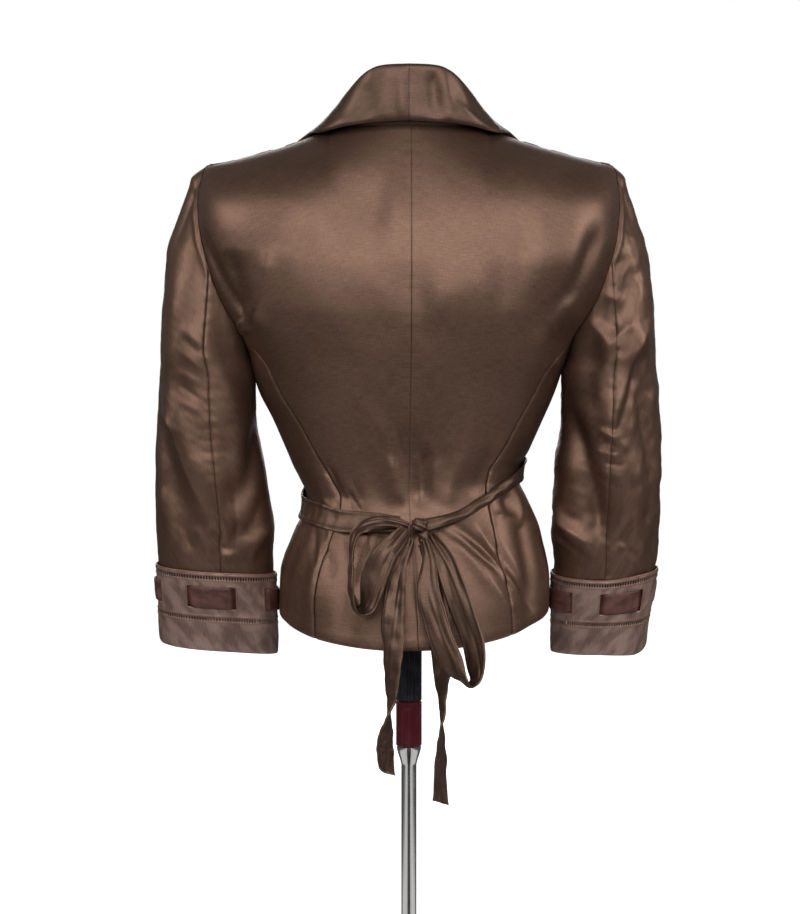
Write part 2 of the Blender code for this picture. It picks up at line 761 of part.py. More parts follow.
def cuff_half(side, half):
    """One half of a cuff: a grid of cloth with its slots left out, made into a wall."""
    stations = cuff_stations(side)
    middle = len(stations) // 2
    stations = stations[middle * half:middle * (half + 1) + 1]
    turns = [turn for turn, _ in stations]
    turns[0] += CUFF_SEAM_GAP
    turns[-1] -= CUFF_SEAM_GAP
    low = cuff_share(SLOT_BELOW_TOP + SLOT_HEIGHT / 2)
    high = cuff_share(SLOT_BELOW_TOP - SLOT_HEIGHT / 2)
    shares = [0, low / 2, low, high, 1]

    mesh = bmesh.new()
    grid = new_grid(mesh, len(turns) - 1, 4, lambda i, j: cuff_point(side, turns[i], shares[j], 0))
    faces = [face_between(grid, i, 2) for i, (_, slot) in enumerate(stations) if slot]
    bmesh.ops.delete(mesh, geom=faces, context="FACES_KEEP_BOUNDARY")
    turn_outward(mesh, lambda point: point - cuff_middle(side, point.z))
    made = add_object(f"cuff_{side}_{('back', 'front')[half]}", mesh, "cuff_satin")
    thicken(made, CUFF_CLOTH)
    return made


def cuff_middle(side, z):
    table = SLEEVES[side]
    x = (along(table, "z", "outer", z / MM) + along(table, "z", "inner", z / MM)) / 2
    return Vector((side_sign(side) * x * MM, along(table, "z", "middle_y", z / MM) * MM, z))


def cuff_ribbon(side):
    """A flat ribbon that shows between each repeat's two slots and runs behind the cuff elsewhere."""
    shares = [cuff_share(SLOT_BELOW_TOP + half) for half in (RIBBON_HEIGHT / 2, -RIBBON_HEIGHT / 2)]
    shown = False
    stations = []
    for turn, slot in cuff_stations(side):
        stations.append((turn, RIBBON_OUT if shown else RIBBON_IN))
        shown = shown != slot
    stations[0] = (stations[0][0] + RIBBON_END_GAP, RIBBON_IN)
    stations[-1] = (stations[-1][0] - RIBBON_END_GAP, RIBBON_IN)

    def place(i, j):
        turn, out = stations[i]
        return cuff_point(side, turn, shares[j], out)

    mesh = bmesh.new()
    new_grid(mesh, len(stations) - 1, 1, place)
    turn_outward(mesh, lambda point: point - cuff_middle(side, point.z))
    made = add_object(f"cuff_ribbon_{side}", mesh, "leather")
    thicken(made, RIBBON)
    return made


# Collar

def collar_seam(side, share):
    """A point of the neck seam: round the back neck, then down just inside the front edge."""
    sign = side_sign(side)
    place = share * (len(COLLAR) - 1) - COLLAR_BACK_ROWS + 1
    if place <= 0:
        return body(sign * through(COLLAR, "seam_degrees", share), NECK, folded=False)
    z = min(NECK, through(COLLAR, "seam_z", share))
    x = neckline_x(z) + mix(NECK_HALF - neckline_x(NECK), -COLLAR_CLEAR, smoothstep(place))
    point = body(sign * degrees_at(x, z, side), z, folded=False)
    return point + Vector((0, overlap_lift(x, side), 0))


def collar_half(side):
    """Half the collar: a stand that rises from the neck seam, a roll, and a fall that lies on the jacket."""
    sign = side_sign(side)

    def point_of(line, v):
        x, y, z = (through(COLLAR, f"{line}_{axis}", v) for axis in "xyz")
        return Vector((sign * x, y, z))

    def place(column, v):
        roll = point_of("roll", v)
        edge = point_of("edge", v)
        seam = collar_seam(side, v)
        rise = (roll - seam).normalized()
        seam = seam + rise * SEAM_LIFT
        out = edge - roll
        out = (out - rise * out.dot(rise)).normalized()
        half = min(ROLL_HALF, 0.7 * (roll - seam).length)
        points = (
            seam,
            mix(seam, roll - rise * half, 0.55) - out * half * 0.3,
            roll - rise * ROLL_DROP - out * half * 0.4,
            roll + out * half * 0.35,
            roll - rise * ROLL_DROP + out * half * 1.5,
            mix(roll, edge, 0.35) + out * half * 0.9,
            mix(roll, edge, 0.68) + out * half * 0.4,
            edge,
        )
        point = points[column].copy()
        if column >= COLLAR_FALL_COLUMN and point.y > COLLAR_FRONT_FROM:
            point.y = max(point.y, front_y(abs(point.x), point.z, side) + COLLAR_REST)
        point.x += sign * COLLAR_CENTRE_GAP * (1 - v)
        return point

    mesh = bmesh.new()
    new_grid(mesh, COLLAR_COLUMNS, COLLAR_ROWS, lambda i, j: place(i, j / COLLAR_ROWS))
    if side == "left":
        bmesh.ops.reverse_faces(mesh, faces=mesh.faces)
    made = add_object(f"collar_{side}", mesh, "satin")
    thicken(made, CLOTH)
    return made


# Belt and bow

def belt_half(side):
    rows = BELT[side]

    def place(i, j):
        degrees = mix(rows[0].degrees, rows[-1].degrees, j / BELT_ROWS)
        z = along(rows, "degrees", "z", degrees)
        half = along(rows, "degrees", "half_width", degrees)
        off = along(rows, "degrees", "off", degrees)
        return body(degrees, z + (i - 1) * half, off, folded=False)

    mesh = bmesh.new()
    new_grid(mesh, 2, BELT_ROWS, place)
    turn_outward(mesh, lambda point: Vector((point.x, point.y, 0)))
    made = add_object(f"belt_{side}", mesh, "satin")
    thicken(made, TIE)
    return made


def tie_strip(name):
    """A strip of the tie: its middle line, its width, and how far it is rolled towards edge on."""
    rows = BOW[name]

    def middle(v):
        return Vector([through(rows, column, v) for column in ("x", "y", "z")])

    def place(u, v):
        step = 0.01
        tangent = (middle(min(1, v + step)) - middle(max(0, v - step)))
        flat = Vector((-tangent.z, 0, tangent.x)).normalized()
        roll = math.radians(through(rows, "roll", v))
        across = flat * math.cos(roll) + Vector((0, -1, 0)) * math.sin(roll)
        return middle(v) + across * (u - 0.5) * through(rows, "width", v)

    mesh = bmesh.new()
    new_grid(mesh, 2, TIE_ROWS, lambda i, j: place(i / 2, j / TIE_ROWS))
    made = add_object(name, mesh, "satin")
    thicken(made, TIE, centred=True)
    return made


def knot():
    mesh = bmesh.new()
    bmesh.ops.create_uvsphere(mesh, u_segments=14, v_segments=8, radius=1.0)
    for vert in mesh.verts:
        pinch = 1 - KNOT_PINCH * (1 - abs(vert.co.x))
        vert.co = Vector((
            BOW_KNOT.x + vert.co.x * BOW_KNOT.width / 2,
            BOW_KNOT.y + vert.co.y * KNOT_DEPTH / 2,
            BOW_KNOT.z + vert.co.z * KNOT_HEIGHT / 2 * pinch,
        )) * MM
    return add_object("bow_knot", mesh, "satin")


# Walls and solids

def new_grid(mesh, columns, rows, place):
    """A grid of faces whose point in column i and row j is at place(i, j), in millimetres."""
    made = bmesh.ops.create_grid(mesh, x_segments=columns, y_segments=rows, size=1.0)["verts"]
    grid = {}
    for vert in made:
        i = round((vert.co.x + 1) / 2 * columns)
        j = round((vert.co.y + 1) / 2 * rows)
        grid[i, j] = vert
    for (i, j), vert in grid.items():
        vert.co = Vector(place(i, j)) * MM
    return grid


def face_between(grid, i, j):
    corners = {grid[i, j], grid[i + 1, j], grid[i + 1, j + 1], grid[i, j + 1]}
    return next(face for face in grid[i, j].link_faces if set(face.verts) == corners)


def turn_outward(mesh, outward):
    """Turns every face the same way, so that the first points along outward at its middle."""
    mesh.normal_update()
    total = sum(face.normal.dot(outward(face.calc_center_median()).normalized()) for face in mesh.faces)
    if total < 0:
        bmesh.ops.reverse_faces(mesh, faces=mesh.faces)


def thicken(made, thickness, centred=False):
    """Gives an open sheet its thickness, on its inner side unless it is centred."""
    solid = made.modifiers.new("cloth", "SOLIDIFY")
    solid.thickness = thickness * MM
    solid.offset = 0.0 if centred else -1.0
    solid.use_even_offset = False


def normal_at(place, u, v):
    step = 0.004
    du = place(u + step, v) - place(u - step, v)
    dv = place(u, min(1, v + step)) - place(u, max(0, v - step))
    return du.cross(dv).normalized()


def panel_wall(name, columns, rows, place, sign):
    """A panel of cloth: an outer grid, an inner one a cloth's thickness inside it, and a rim."""
    mesh = bmesh.new()
    outer = new_grid(mesh, columns, rows, lambda i, j: place(i / columns, j / rows))

    def inside(i, j):
        u, v = i / columns, j / rows
        return place(u, v) - normal_at(place, u, v) * sign * CLOTH

    inner = new_grid(mesh, columns, rows, inside)
    inner_faces = [face for face in mesh.faces if face.verts[0] in set(inner.values())]
    flipped = inner_faces if sign > 0 else [face for face in mesh.faces if face not in set(inner_faces)]
    bmesh.ops.reverse_faces(mesh, faces=flipped)
    rim = [edge for edge in mesh.edges if edge.is_boundary]
    bmesh.ops.bridge_loops(mesh, edges=rim)
    bmesh.ops.recalc_face_normals(mesh, faces=mesh.faces)
    return add_object(name, mesh, "satin")


def lofted(name, rings, material_name):
    """A closed solid through rings of points, in millimetres, from the lowest to the highest."""
    mesh = bmesh.new()
    loops = []
    for ring in rings:
        verts = [mesh.verts.new(Vector(point) * MM) for point in ring]
        loops.append([mesh.edges.new((verts[i - 1], verts[i])) for i in range(len(verts))])
    for low, high in zip(loops, loops[1:]):
        bmesh.ops.bridge_loops(mesh, edges=low + high)
    bmesh.ops.edgeloop_fill(mesh, edges=loops[0])
    bmesh.ops.edgeloop_fill(mesh, edges=loops[-1])
    bmesh.ops.recalc_face_normals(mesh, faces=mesh.faces)
    made = add_object(name, mesh, material_name)
    made.data.set_sharp_from_angle(angle=math.radians(40))
    return made


def circle(radius, z, segments=ROUND_SEGMENTS):
    turns = [2 * math.pi * i / segments for i in range(segments)]
    return [(radius * math.cos(turn), radius * math.sin(turn), z) for turn in turns]


# Dress form and stand

def form_ring(z):
    """The form's section: the body's, drawn in, and drawn in further at the arms, which it has none of."""
    arm = smoothstep((z - FORM_ARM_LOW) / 60) * (1 - smoothstep((z - FORM_ARM_TOP) / 20))
    level = z + FORM_SHOULDER_DROP * smoothstep((z - FORM_SHOULDER) / 20)
    ring = []
    for i in range(FORM_SEGMENTS):
        degrees = 360 * i / FORM_SEGMENTS
        wide = abs(math.sin(math.radians(degrees)))
        inset = mix(FORM_INSET, FORM_ARM_INSET, arm * wide)
        point = body(degrees, level, -inset, folded=False)
        ring.append((point.x, point.y, z))
    return ring


def form():
    rings = [form_ring(z) for z in FORM_LEVELS]
    for radius, z in FORM_NECK:
        turns = [2 * math.pi * i / FORM_SEGMENTS for i in range(FORM_SEGMENTS)]
        rings.append([(radius * math.sin(turn), FORM_NECK_Y - radius * math.cos(turn), z) for turn in turns])
    lofted("form_torso", rings, "form_cloth")


def stand():
    lofted("post_black", [
        circle(POST_RADIUS, POST_BLACK_LOW),
        circle(POST_RADIUS, FORM_LOW - PART_GAP),
    ], "black_lacquer")
    lofted("post_red", [
        circle(POST_RADIUS, POST_RED_LOW),
        circle(POST_RADIUS, POST_BLACK_LOW - PART_GAP),
    ], "red_lacquer")
    swage = []
    for share in (0, 0.25, 0.5, 0.75, 1):
        radius = mix(POLE_RADIUS, SWAGE_RADIUS, smoothstep(share))
        swage.append(circle(radius, mix(SWAGE_LOW, SWAGE_TOP, share)))
    lofted("pole", [
        circle(POLE_RADIUS, SOCKET_HEIGHT + PART_GAP),
        *swage,
        circle(SWAGE_RADIUS, POST_RED_LOW - PART_GAP),
    ], "chrome")
    lofted("socket", [
        circle(SOCKET_RADIUS, BASE_HEIGHT + PART_GAP),
        circle(SOCKET_RADIUS, SOCKET_HEIGHT - SOCKET_EDGE),
        circle(SOCKET_RADIUS - SOCKET_EDGE, SOCKET_HEIGHT),
    ], "chrome")
    lofted("base", [
        circle(BASE_RADIUS - BASE_EDGE, 0, BASE_SEGMENTS),
        circle(BASE_RADIUS, BASE_EDGE, BASE_SEGMENTS),
        circle(BASE_RADIUS, BASE_HEIGHT - BASE_EDGE, BASE_SEGMENTS),
        circle(BASE_RADIUS - BASE_EDGE, BASE_HEIGHT, BASE_SEGMENTS),
    ], "chrome")


def main():
    clear_scene()
    body_rows = len(BODY_LEVELS) - 1
    for side in ("left", "right"):
        sign = side_sign(side)
        panel_wall(f"back_{side}", BACK_COLUMNS, body_rows, back_panel(side), sign)
        panel_wall(f"side_{side}", SIDE_COLUMNS, SIDE_ROWS, side_panel(side), sign)
        panel_wall(f"front_{side}", FRONT_COLUMNS, body_rows, front_panel(side), sign)
        top = sleeve_panel(side, SLEEVE_FRONT_SEAM, SLEEVE_BACK_SEAM)
        under = sleeve_panel(side, SLEEVE_BACK_SEAM, SLEEVE_FRONT_SEAM + 360)
        panel_wall(f"sleeve_top_{side}", SLEEVE_TOP_COLUMNS, SLEEVE_ROWS, top, sign)
        panel_wall(f"sleeve_under_{side}", SLEEVE_UNDER_COLUMNS, SLEEVE_ROWS, under, sign)
        collar_half(side)
        for half in (0, 1):
            cuff_half(side, half)
        cuff_ribbon(side)
        belt_half(side)
    knot()
    for name in BOW:
        tie_strip(name)
    form()
    stand()


main()
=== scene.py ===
import math

import bmesh
import bpy
import numpy as np
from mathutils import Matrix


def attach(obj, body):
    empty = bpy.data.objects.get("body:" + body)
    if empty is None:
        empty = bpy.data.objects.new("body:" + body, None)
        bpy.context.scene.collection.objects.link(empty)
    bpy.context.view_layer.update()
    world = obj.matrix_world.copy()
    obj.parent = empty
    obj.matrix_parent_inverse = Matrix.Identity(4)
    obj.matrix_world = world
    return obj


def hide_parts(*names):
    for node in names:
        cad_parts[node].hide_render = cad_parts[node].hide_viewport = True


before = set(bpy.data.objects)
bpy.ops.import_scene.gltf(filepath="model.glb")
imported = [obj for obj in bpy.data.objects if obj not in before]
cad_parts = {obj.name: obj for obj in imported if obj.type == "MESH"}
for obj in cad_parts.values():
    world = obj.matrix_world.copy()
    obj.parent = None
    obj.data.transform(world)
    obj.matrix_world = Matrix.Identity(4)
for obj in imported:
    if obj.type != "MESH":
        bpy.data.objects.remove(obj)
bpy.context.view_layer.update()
mm = 0.001  # every table below is in millimetres
sideSign = {"left": -1, "right": 1}


# smooth steps and tables

def smooth(t):
    t = np.clip(t, 0.0, 1.0)
    return t * t * (3.0 - 2.0 * t)


def mix(first, second, share):
    return first + (second - first) * share


def bell(distance, reach):  # 1 on a line, fading to both sides of it
    return np.exp(-(distance / reach) ** 2)


def signedPower(value, power):
    return np.sign(value) * np.abs(value) ** power


def along(keys, values, at):  # a smooth curve through a table, without overshoot
    keys = np.array(keys, float)
    values = np.array(values, float)
    gaps = np.diff(keys)
    slopes = np.diff(values) / gaps
    before, after = slopes[:-1], slopes[1:]
    same = before * after > 0
    inner = np.where(same, 2 * before * after / np.where(same, before + after, 1), 0)
    tangent = np.concatenate((slopes[:1], inner, slopes[-1:]))
    at = np.clip(at, keys[0], keys[-1])
    i = np.clip(np.searchsorted(keys, at, side="right") - 1, 0, len(gaps) - 1)
    t = (at - keys[i]) / gaps[i]
    near = values[i] * (1 + 2 * t) * (1 - t) ** 2 + tangent[i] * gaps[i] * t * (1 - t) ** 2
    far = values[i + 1] * t * t * (3 - 2 * t) + tangent[i + 1] * gaps[i] * t * t * (t - 1)
    return near + far


def through(values, share):  # a smooth curve through evenly spaced stations
    values = np.array(values, float)
    last = len(values) - 1
    station = np.clip(np.asarray(share, float) * last, 0, last - 1e-9)
    i = station.astype(int)
    t = station - i
    p0, p1, p2, p3 = (values[np.clip(i + k, 0, last)] for k in (-1, 0, 1, 2))
    return p1 + 0.5 * t * (p2 - p0 + t * (2 * p0 - 5 * p1 + 4 * p2 - p3 + t * (3 * (p1 - p2) + p3 - p0)))


def throughPoints(points, share):
    return np.stack([through(column, share) for column in zip(*points)], axis=-1)


def unit(vectors):
    return vectors / np.linalg.norm(vectors, axis=-1, keepdims=True)


# folds, creases and seams

foldPast = 0.25  # how far a fold runs on past its two ends, as a share of its length
creaseEnd = {"past": 0.15, "fade": 0.4, "blunt": 0.004}
swell = {"waves": 8, "turn": 2.399, "shortest": 0.55, "longer": 0.17, "phase": 1.7, "level": 3.4}
gathers = ((0.5, 1.9, 0.0), (0.35, 3.1, 1.3), (0.3, 0.87, 0.4))  # share, length and phase of each wave
seams = {  # depth and reach of the sewn line, height and reach of the gathers beside it
    "centreBack": (0.22, 0.7, 0.14, 4.0),
    "backToSide": (1.7, 1.6, 0.34, 6.0),
    "sideToBack": (1.1, 1.6, 0.34, 6.0),
    "sideToFront": (0.8, 1.4, 0.25, 6.0),
    "sleeve": (0.8, 1.4, 0.4, 6.0),
    "sleeveHead": (0.0, 1.0, 0.35, 7.0),
    "collar": (0.35, 0.9, 0.25, 5.0),
    "cuff": (0.7, 1.2, 0.0, 1.0),
}


# a fold's row: top angle and height, low angle and height, width, height
def foldHeight(folds, degrees, z, radius):
    total = np.zeros_like(z)
    for topDegrees, topZ, lowDegrees, lowZ, width, height in folds:
        t = (topZ - z) / (topZ - lowZ)
        middle = mix(topDegrees, lowDegrees, t)
        across = np.radians((degrees - middle + 180) % 360 - 180) * radius
        total += height * bell(across, width) * smooth((t + foldPast) * 2) * smooth((1 + foldPast - t) * 2)
    return total


# a crease's row: from x z, to x z, bend, width, height, softness (1 round, 0.5 a sharp edge)
def creaseHeight(creases, x, z):
    past, ease = creaseEnd["past"], creaseEnd["fade"]
    total = np.zeros_like(z)
    for x0, z0, x1, z1, bend, width, height, soft in creases:
        run = math.hypot(x1 - x0, z1 - z0)
        ax, az = (x1 - x0) / run, (z1 - z0) / run
        t = ((x - x0) * ax + (z - z0) * az) / run
        inside = np.clip(t, 0, 1)
        d = (z - z0) * ax - (x - x0) * az - bend * 4 * inside * (1 - inside)
        fade = smooth((t + past) / ease) * smooth((1 + past - t) / ease)
        total += height * np.exp(-(d * d / width ** 2 + creaseEnd["blunt"]) ** soft) * fade
    return total


def crumple(x, z, size, seed):  # a gentle uneven swell, about -1 to 1
    total = np.zeros_like(z)
    for k in range(swell["waves"]):
        turn = swell["turn"] * k + seed
        reach = size * (swell["shortest"] + swell["longer"] * k)
        across = x * math.cos(turn) + z * math.sin(turn)
        total += np.sin(across * 2 * math.pi / reach + swell["phase"] * k * k + seed)
    return total / swell["level"]


def sewnLine(kind, distance, run):  # a seam's groove and the gathers beside it
    depth, reach, height, fade = seams[kind]
    waves = sum(share * np.sin(run / length + phase) for share, length, phase in gathers)
    return height * waves * np.exp(-distance / fade) - depth * bell(distance, reach)


# cloth sheets

edgeShares = np.array((0.0, 0.004, 0.008, 0.013))  # the closer rows at a sheet's edge
edgeRest = 0.02
hemLine = 0.78  # where a strip's hem is stitched, as a share of its half width


def edged(count):  # shares across a sheet, closer at its two edges
    return np.concatenate((edgeShares, np.linspace(edgeRest, 1 - edgeRest, count), 1 - edgeShares[::-1]))


def asObject(mesh, name):
    data = bpy.data.meshes.new(name)
    mesh.to_mesh(data)
    mesh.free()
    data.shade_smooth()
    made = bpy.data.objects.new(name, data)
    bpy.context.scene.collection.objects.link(made)
    return made


def gridMesh(columns, rows, holes, flip):
    mesh = bmesh.new()
    bmesh.ops.create_grid(mesh, x_segments=columns, y_segments=rows, size=1.0)
    if holes is not None:
        cut = []
        for face in mesh.faces:
            middle = face.calc_center_median()
            if holes[int((middle.y + 1) / 2 * rows), int((middle.x + 1) / 2 * columns)]:
                cut.append(face)
        bmesh.ops.delete(mesh, geom=cut, context="FACES")
    if flip:
        bmesh.ops.reverse_faces(mesh, faces=mesh.faces)
    return mesh


# lay gives the points; sewn gives each stitched edge a reach and a strength
def clothSheet(name, across, down, lay, flip=False, holes=None, trim=None, paintedPoreShade=None, sewn=None,
               turned=False):
    columns, rows = len(across) - 1, len(down) - 1
    made = asObject(gridMesh(columns, rows, holes, flip), name)
    data = made.data
    corners = np.empty(len(data.vertices) * 3)
    data.vertices.foreach_get("co", corners)
    column = np.rint((corners[0::3] + 1) / 2 * columns).astype(int)
    row = np.rint((corners[1::3] + 1) / 2 * rows).astype(int)
    u, v = np.meshgrid(across, down)
    points = lay(u, v)
    data.vertices.foreach_set("co", (points[row, column] * mm).ravel())
    # the cloth's own map: metres across and along it
    acrossRun = np.zeros(u.shape)
    acrossRun[:, 1:] = np.cumsum(np.linalg.norm(np.diff(points, axis=1), axis=2), axis=1)
    downRun = np.zeros(u.shape)
    downRun[1:] = np.cumsum(np.linalg.norm(np.diff(points, axis=0), axis=2), axis=0)
    loopVert = np.empty(len(data.loops), int)
    data.loops.foreach_get("vertex_index", loopVert)
    runs = (downRun, acrossRun) if turned else (acrossRun, downRun)
    uv = np.stack([run[row, column] for run in runs], axis=1)[loopVert] * mm
    data.uv_layers.new(name="cloth").data.foreach_set("uv", uv.ravel())
    # marks for the finish: stitched lines darkened by painted shade in their grooves, painted shade at the
    # holes, and the raised trim
    seam = np.zeros(u.shape) if paintedPoreShade is None else paintedPoreShade
    edges = {"first": acrossRun, "last": acrossRun[:, -1:] - acrossRun, "top": downRun}
    edges["hems"] = np.abs(np.abs(u) - hemLine) * acrossRun[:, -1:] / 2
    for edge, (reach, strength) in (sewn or {}).items():
        seam = np.maximum(seam, strength * bell(edges[edge], reach))
    marks = {"seam": seam} if trim is None else {"seam": seam, "trim": trim}
    for mark, values in marks.items():
        data.attributes.new(mark, "FLOAT", "POINT").data.foreach_set("value", values[row, column])
    data.update()
    return made


def thicken(made, thickness, offset=-1.0, rounded=0.0):
    wall = made.modifiers.new("wall", "SOLIDIFY")
    wall.thickness = thickness * mm
    wall.offset = offset
    wall.use_even_offset = False
    if rounded:
        edge = made.modifiers.new("edge", "BEVEL")
        edge.width = rounded * mm
        edge.segments = 2
        edge.limit_method = "ANGLE"
        edge.angle_limit = math.radians(50)


def place(made, finish, slotName, *nodes):
    made.data.materials.append(finish)
    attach(made, "root")
    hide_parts(*nodes)


# shader sockets: arithmetic on a wire adds Math nodes

class Wire:
    def __init__(self, tree, socket=None):
        self.tree = tree
        self.socket = socket

    def node(self, kind, settings=None, sockets=None, out=0):
        made = self.tree.nodes.new(kind)
        for key, value in (settings or {}).items():
            setattr(made, key, value)
        for key, value in (sockets or {}).items():
            if isinstance(value, Wire):
                self.tree.links.new(value.socket, made.inputs[key])
            else:
                made.inputs[key].default_value = value
        return Wire(self.tree, made.outputs[out])

    def math(self, operation, *values):
        return self.node("ShaderNodeMath", {"operation": operation}, dict(enumerate(values)))

    def __add__(self, other):
        return self.math("ADD", self, other)

    def __radd__(self, other):
        return self.math("ADD", other, self)

    def __sub__(self, other):
        return self.math("SUBTRACT", self, other)

    def __rsub__(self, other):
        return self.math("SUBTRACT", other, self)

    def __mul__(self, other):
        return self.math("MULTIPLY", self, other)

    def __rmul__(self, other):
        return self.math("MULTIPLY", other, self)

    def blend(self, first, second):  # a colour between two, by this value
        return self.node("ShaderNodeMix", {"data_type": "RGBA"}, {0: self, 6: first, 7: second}, out=2)

    def noise(self, scale, stretch=(1, 1, 1), detail=2.0, rough=0.5):  # this wire is the coordinates
        mapped = self.node("ShaderNodeMapping", None, {"Vector": self, "Scale": stretch})
        sockets = {"Vector": mapped, "Scale": scale, "Detail": detail, "Roughness": rough}
        return self.node("ShaderNodeTexNoise", None, sockets)

    def spread(self, low, high, first=0.0, second=1.0):  # maps a range of this value to another, smoothly
        sockets = {"Value": self, "From Min": low, "From Max": high, "To Min": first, "To Max": second}
        return self.node("ShaderNodeMapRange", {"interpolation_type": "SMOOTHSTEP"}, sockets)

    def axis(self, number):  # one part of a vector
        return self.node("ShaderNodeSeparateXYZ", None, {"Vector": self}, out=number)

    def into(self, shader, key):
        self.tree.links.new(self.socket, shader.inputs[key])


def newFinish(name, **constants):
    made = bpy.data.materials.new(name)
    made.use_nodes = True
    shader = made.node_tree.nodes["Principled BSDF"]
    for key, value in constants.items():
        shader.inputs[key.replace("_", " ")].default_value = value
    return made, Wire(made.node_tree), shader


def clothMap(wire):
    return wire.node("ShaderNodeUVMap", {"uv_map": "cloth"})


def objectSpace(wire):
    return wire.node("ShaderNodeTexCoord", out=3)


def marked(wire, name):
    return wire.node("ShaderNodeAttribute", {"attribute_name": name}, out=2)


def bump(height, strength, distance):
    return height.node("ShaderNodeBump", None, {"Height": height, "Strength": strength, "Distance": distance})


satinLook = {
    "dark": (0.12, 0.0645, 0.0415, 1),
    "light": (0.252, 0.146, 0.101, 1),
    # near-black colour of the seam lines: stitching, and painted shade in the seam grooves
    "seam": (0.035, 0.02, 0.014, 1),
    "metallic": 0.82,
    "coat": 0.15,
    "coatRoughness": 0.5,
    "roughness": 0.47,
    "weft": (90, 1250, 1),  # waves a metre, across and along the cloth
    "warp": (1400, 160, 1),
    "cloud": 12.0,
    "stitch": 2400,  # radians a metre
    "relief": 0.0003,
}


def satinFinish(name, look):
    constants = {"Metallic": look["metallic"], "Coat_Weight": look["coat"]}
    made, wire, shader = newFinish(name, Coat_Roughness=look["coatRoughness"], **constants)
    cloth = clothMap(wire)
    weft = cloth.noise(1.0, look["weft"], 2.0, 0.6)
    warp = cloth.noise(1.0, look["warp"], 2.0, 0.6)
    cloud = objectSpace(wire).noise(look["cloud"], detail=4.0)
    tone = weft.spread(0.3, 0.7) * 0.45 + warp.spread(0.3, 0.7) * 0.3 + cloud.spread(0.3, 0.7) * 0.25
    # seam lines darken toward the seam colour in stitch-long dashes: stitching, and painted shade in the
    # grooves
    stitch = wire.math("SINE", cloth.axis(1) * look["stitch"]).spread(-0.6, 0.6, 0.3, 0.65)
    plain = tone.blend(look["dark"], look["light"])
    (marked(wire, "seam") * stitch).blend(plain, look["seam"]).into(shader, "Base Color")
    (look["roughness"] + 0.1 * (weft - 0.5) + 0.14 * (cloud - 0.5)).into(shader, "Roughness")
    bump(weft * 0.6 + warp * 0.4, 0.3, look["relief"]).into(shader, "Normal")
    return made


cuffLook = {
    "dark": (0.19, 0.118, 0.097, 1),
    "light": (0.4, 0.27, 0.228, 1),
    "copper": (0.3, 0.15, 0.095, 1),
    # near-black painted shade for the edges of the drawn-thread holes
    "poreShadeColour": (0.02, 0.009, 0.006, 1),
    "bias": (0, 0, 0.5),  # the patches lie across the weave
    "patch": (95, 42, 1),
    "slub": (900, 120, 1),
    "stitch": (1400, 500, 1),
    "relief": 0.0005,
}


def cuffFinish():
    made, wire, shader = newFinish("cuffSatin", Metallic=0.4)
    cloth = clothMap(wire)
    bias = wire.node("ShaderNodeMapping", None, {"Vector": cloth, "Rotation": cuffLook["bias"]})
    patch = bias.noise(1.0, cuffLook["patch"], 3.0, 0.45)
    slub = cloth.noise(1.0, cuffLook["slub"], 2.0)
    stitch = cloth.noise(1.0, cuffLook["stitch"], 1.0)
    trim = marked(wire, "trim")
    tone = patch.spread(0.36, 0.64) * 0.75 + slub.spread(0.3, 0.7) * 0.25
    plain = tone.blend(cuffLook["dark"], cuffLook["light"])
    bordered = (trim * stitch.spread(0.2, 0.6, 0.5, 1.0)).blend(plain, cuffLook["copper"])
    # where the seam mark holds the pores, painted shade darkens the holes' edges
    marked(wire, "seam").blend(bordered, cuffLook["poreShadeColour"]).into(shader, "Base Color")
    (0.42 + 0.2 * (patch - 0.5)).into(shader, "Roughness")
    bump(patch * 0.5 + slub * 0.2 + trim * stitch, 0.35, cuffLook["relief"]).into(shader, "Normal")
    return made


leatherLook = {
    "dark": (0.062, 0.021, 0.016, 1),
    "light": (0.15, 0.06, 0.048, 1),
    "cloud": (70, 110, 1),
    "grain": 900.0,
    "relief": 0.0005,
}


def leatherFinish():
    made, wire, shader = newFinish("ribbonLeather", Metallic=0.0)
    cloth = clothMap(wire)
    cloud = cloth.noise(1.0, leatherLook["cloud"], 4.0, 0.6)
    sockets = {"Vector": cloth, "Scale": leatherLook["grain"]}
    grain = wire.node("ShaderNodeTexVoronoi", {"feature": "F1"}, sockets)
    cloud.spread(0.3, 0.7).blend(leatherLook["dark"], leatherLook["light"]).into(shader, "Base Color")
    (0.5 + 0.3 * (cloud - 0.5)).into(shader, "Roughness")
    bump(grain * 0.4 + cloud, 0.4, leatherLook["relief"]).into(shader, "Normal")
    return made


lacquerLook = {
    "black": ((0.006, 0.006, 0.008, 1), (0.045, 0.045, 0.055, 1)),  # plain, and lighter where the haze and the painted reflection streaks lie
    "red": ((0.075, 0.006, 0.011, 1), (0.12, 0.02, 0.026, 1)),
    "haze": 60.0,
    # vertical streaks that are painted reflections
    "reflectionStreak": (900, 900, 12),
}


def lacquerFinish(colour):
    made, wire, shader = newFinish(f"{colour}Lacquer", Coat_Weight=0.15, Specular_IOR_Level=0.35)
    body = objectSpace(wire)
    haze = body.noise(lacquerLook["haze"], detail=4.0)
    reflectionStreak = body.noise(1.0, lacquerLook["reflectionStreak"], 2.0)
    # the haze varies the tone at random; the vertical streaks are painted reflections down the post
    worn = haze.spread(0.35, 0.75) * 0.5 + reflectionStreak.spread(0.45, 0.75) * 0.8
    worn.blend(*lacquerLook[colour]).into(shader, "Base Color")
    (0.16 + 0.14 * haze.spread(0.4, 0.8) + 0.06 * reflectionStreak).into(shader, "Roughness")
    return made


chromeLook = {
    "dull": (0.62, 0.61, 0.6, 1),
    "bright": (0.82, 0.81, 0.8, 1),
    "haze": 45.0,
    "scratch": (1300, 1300, 30),
}


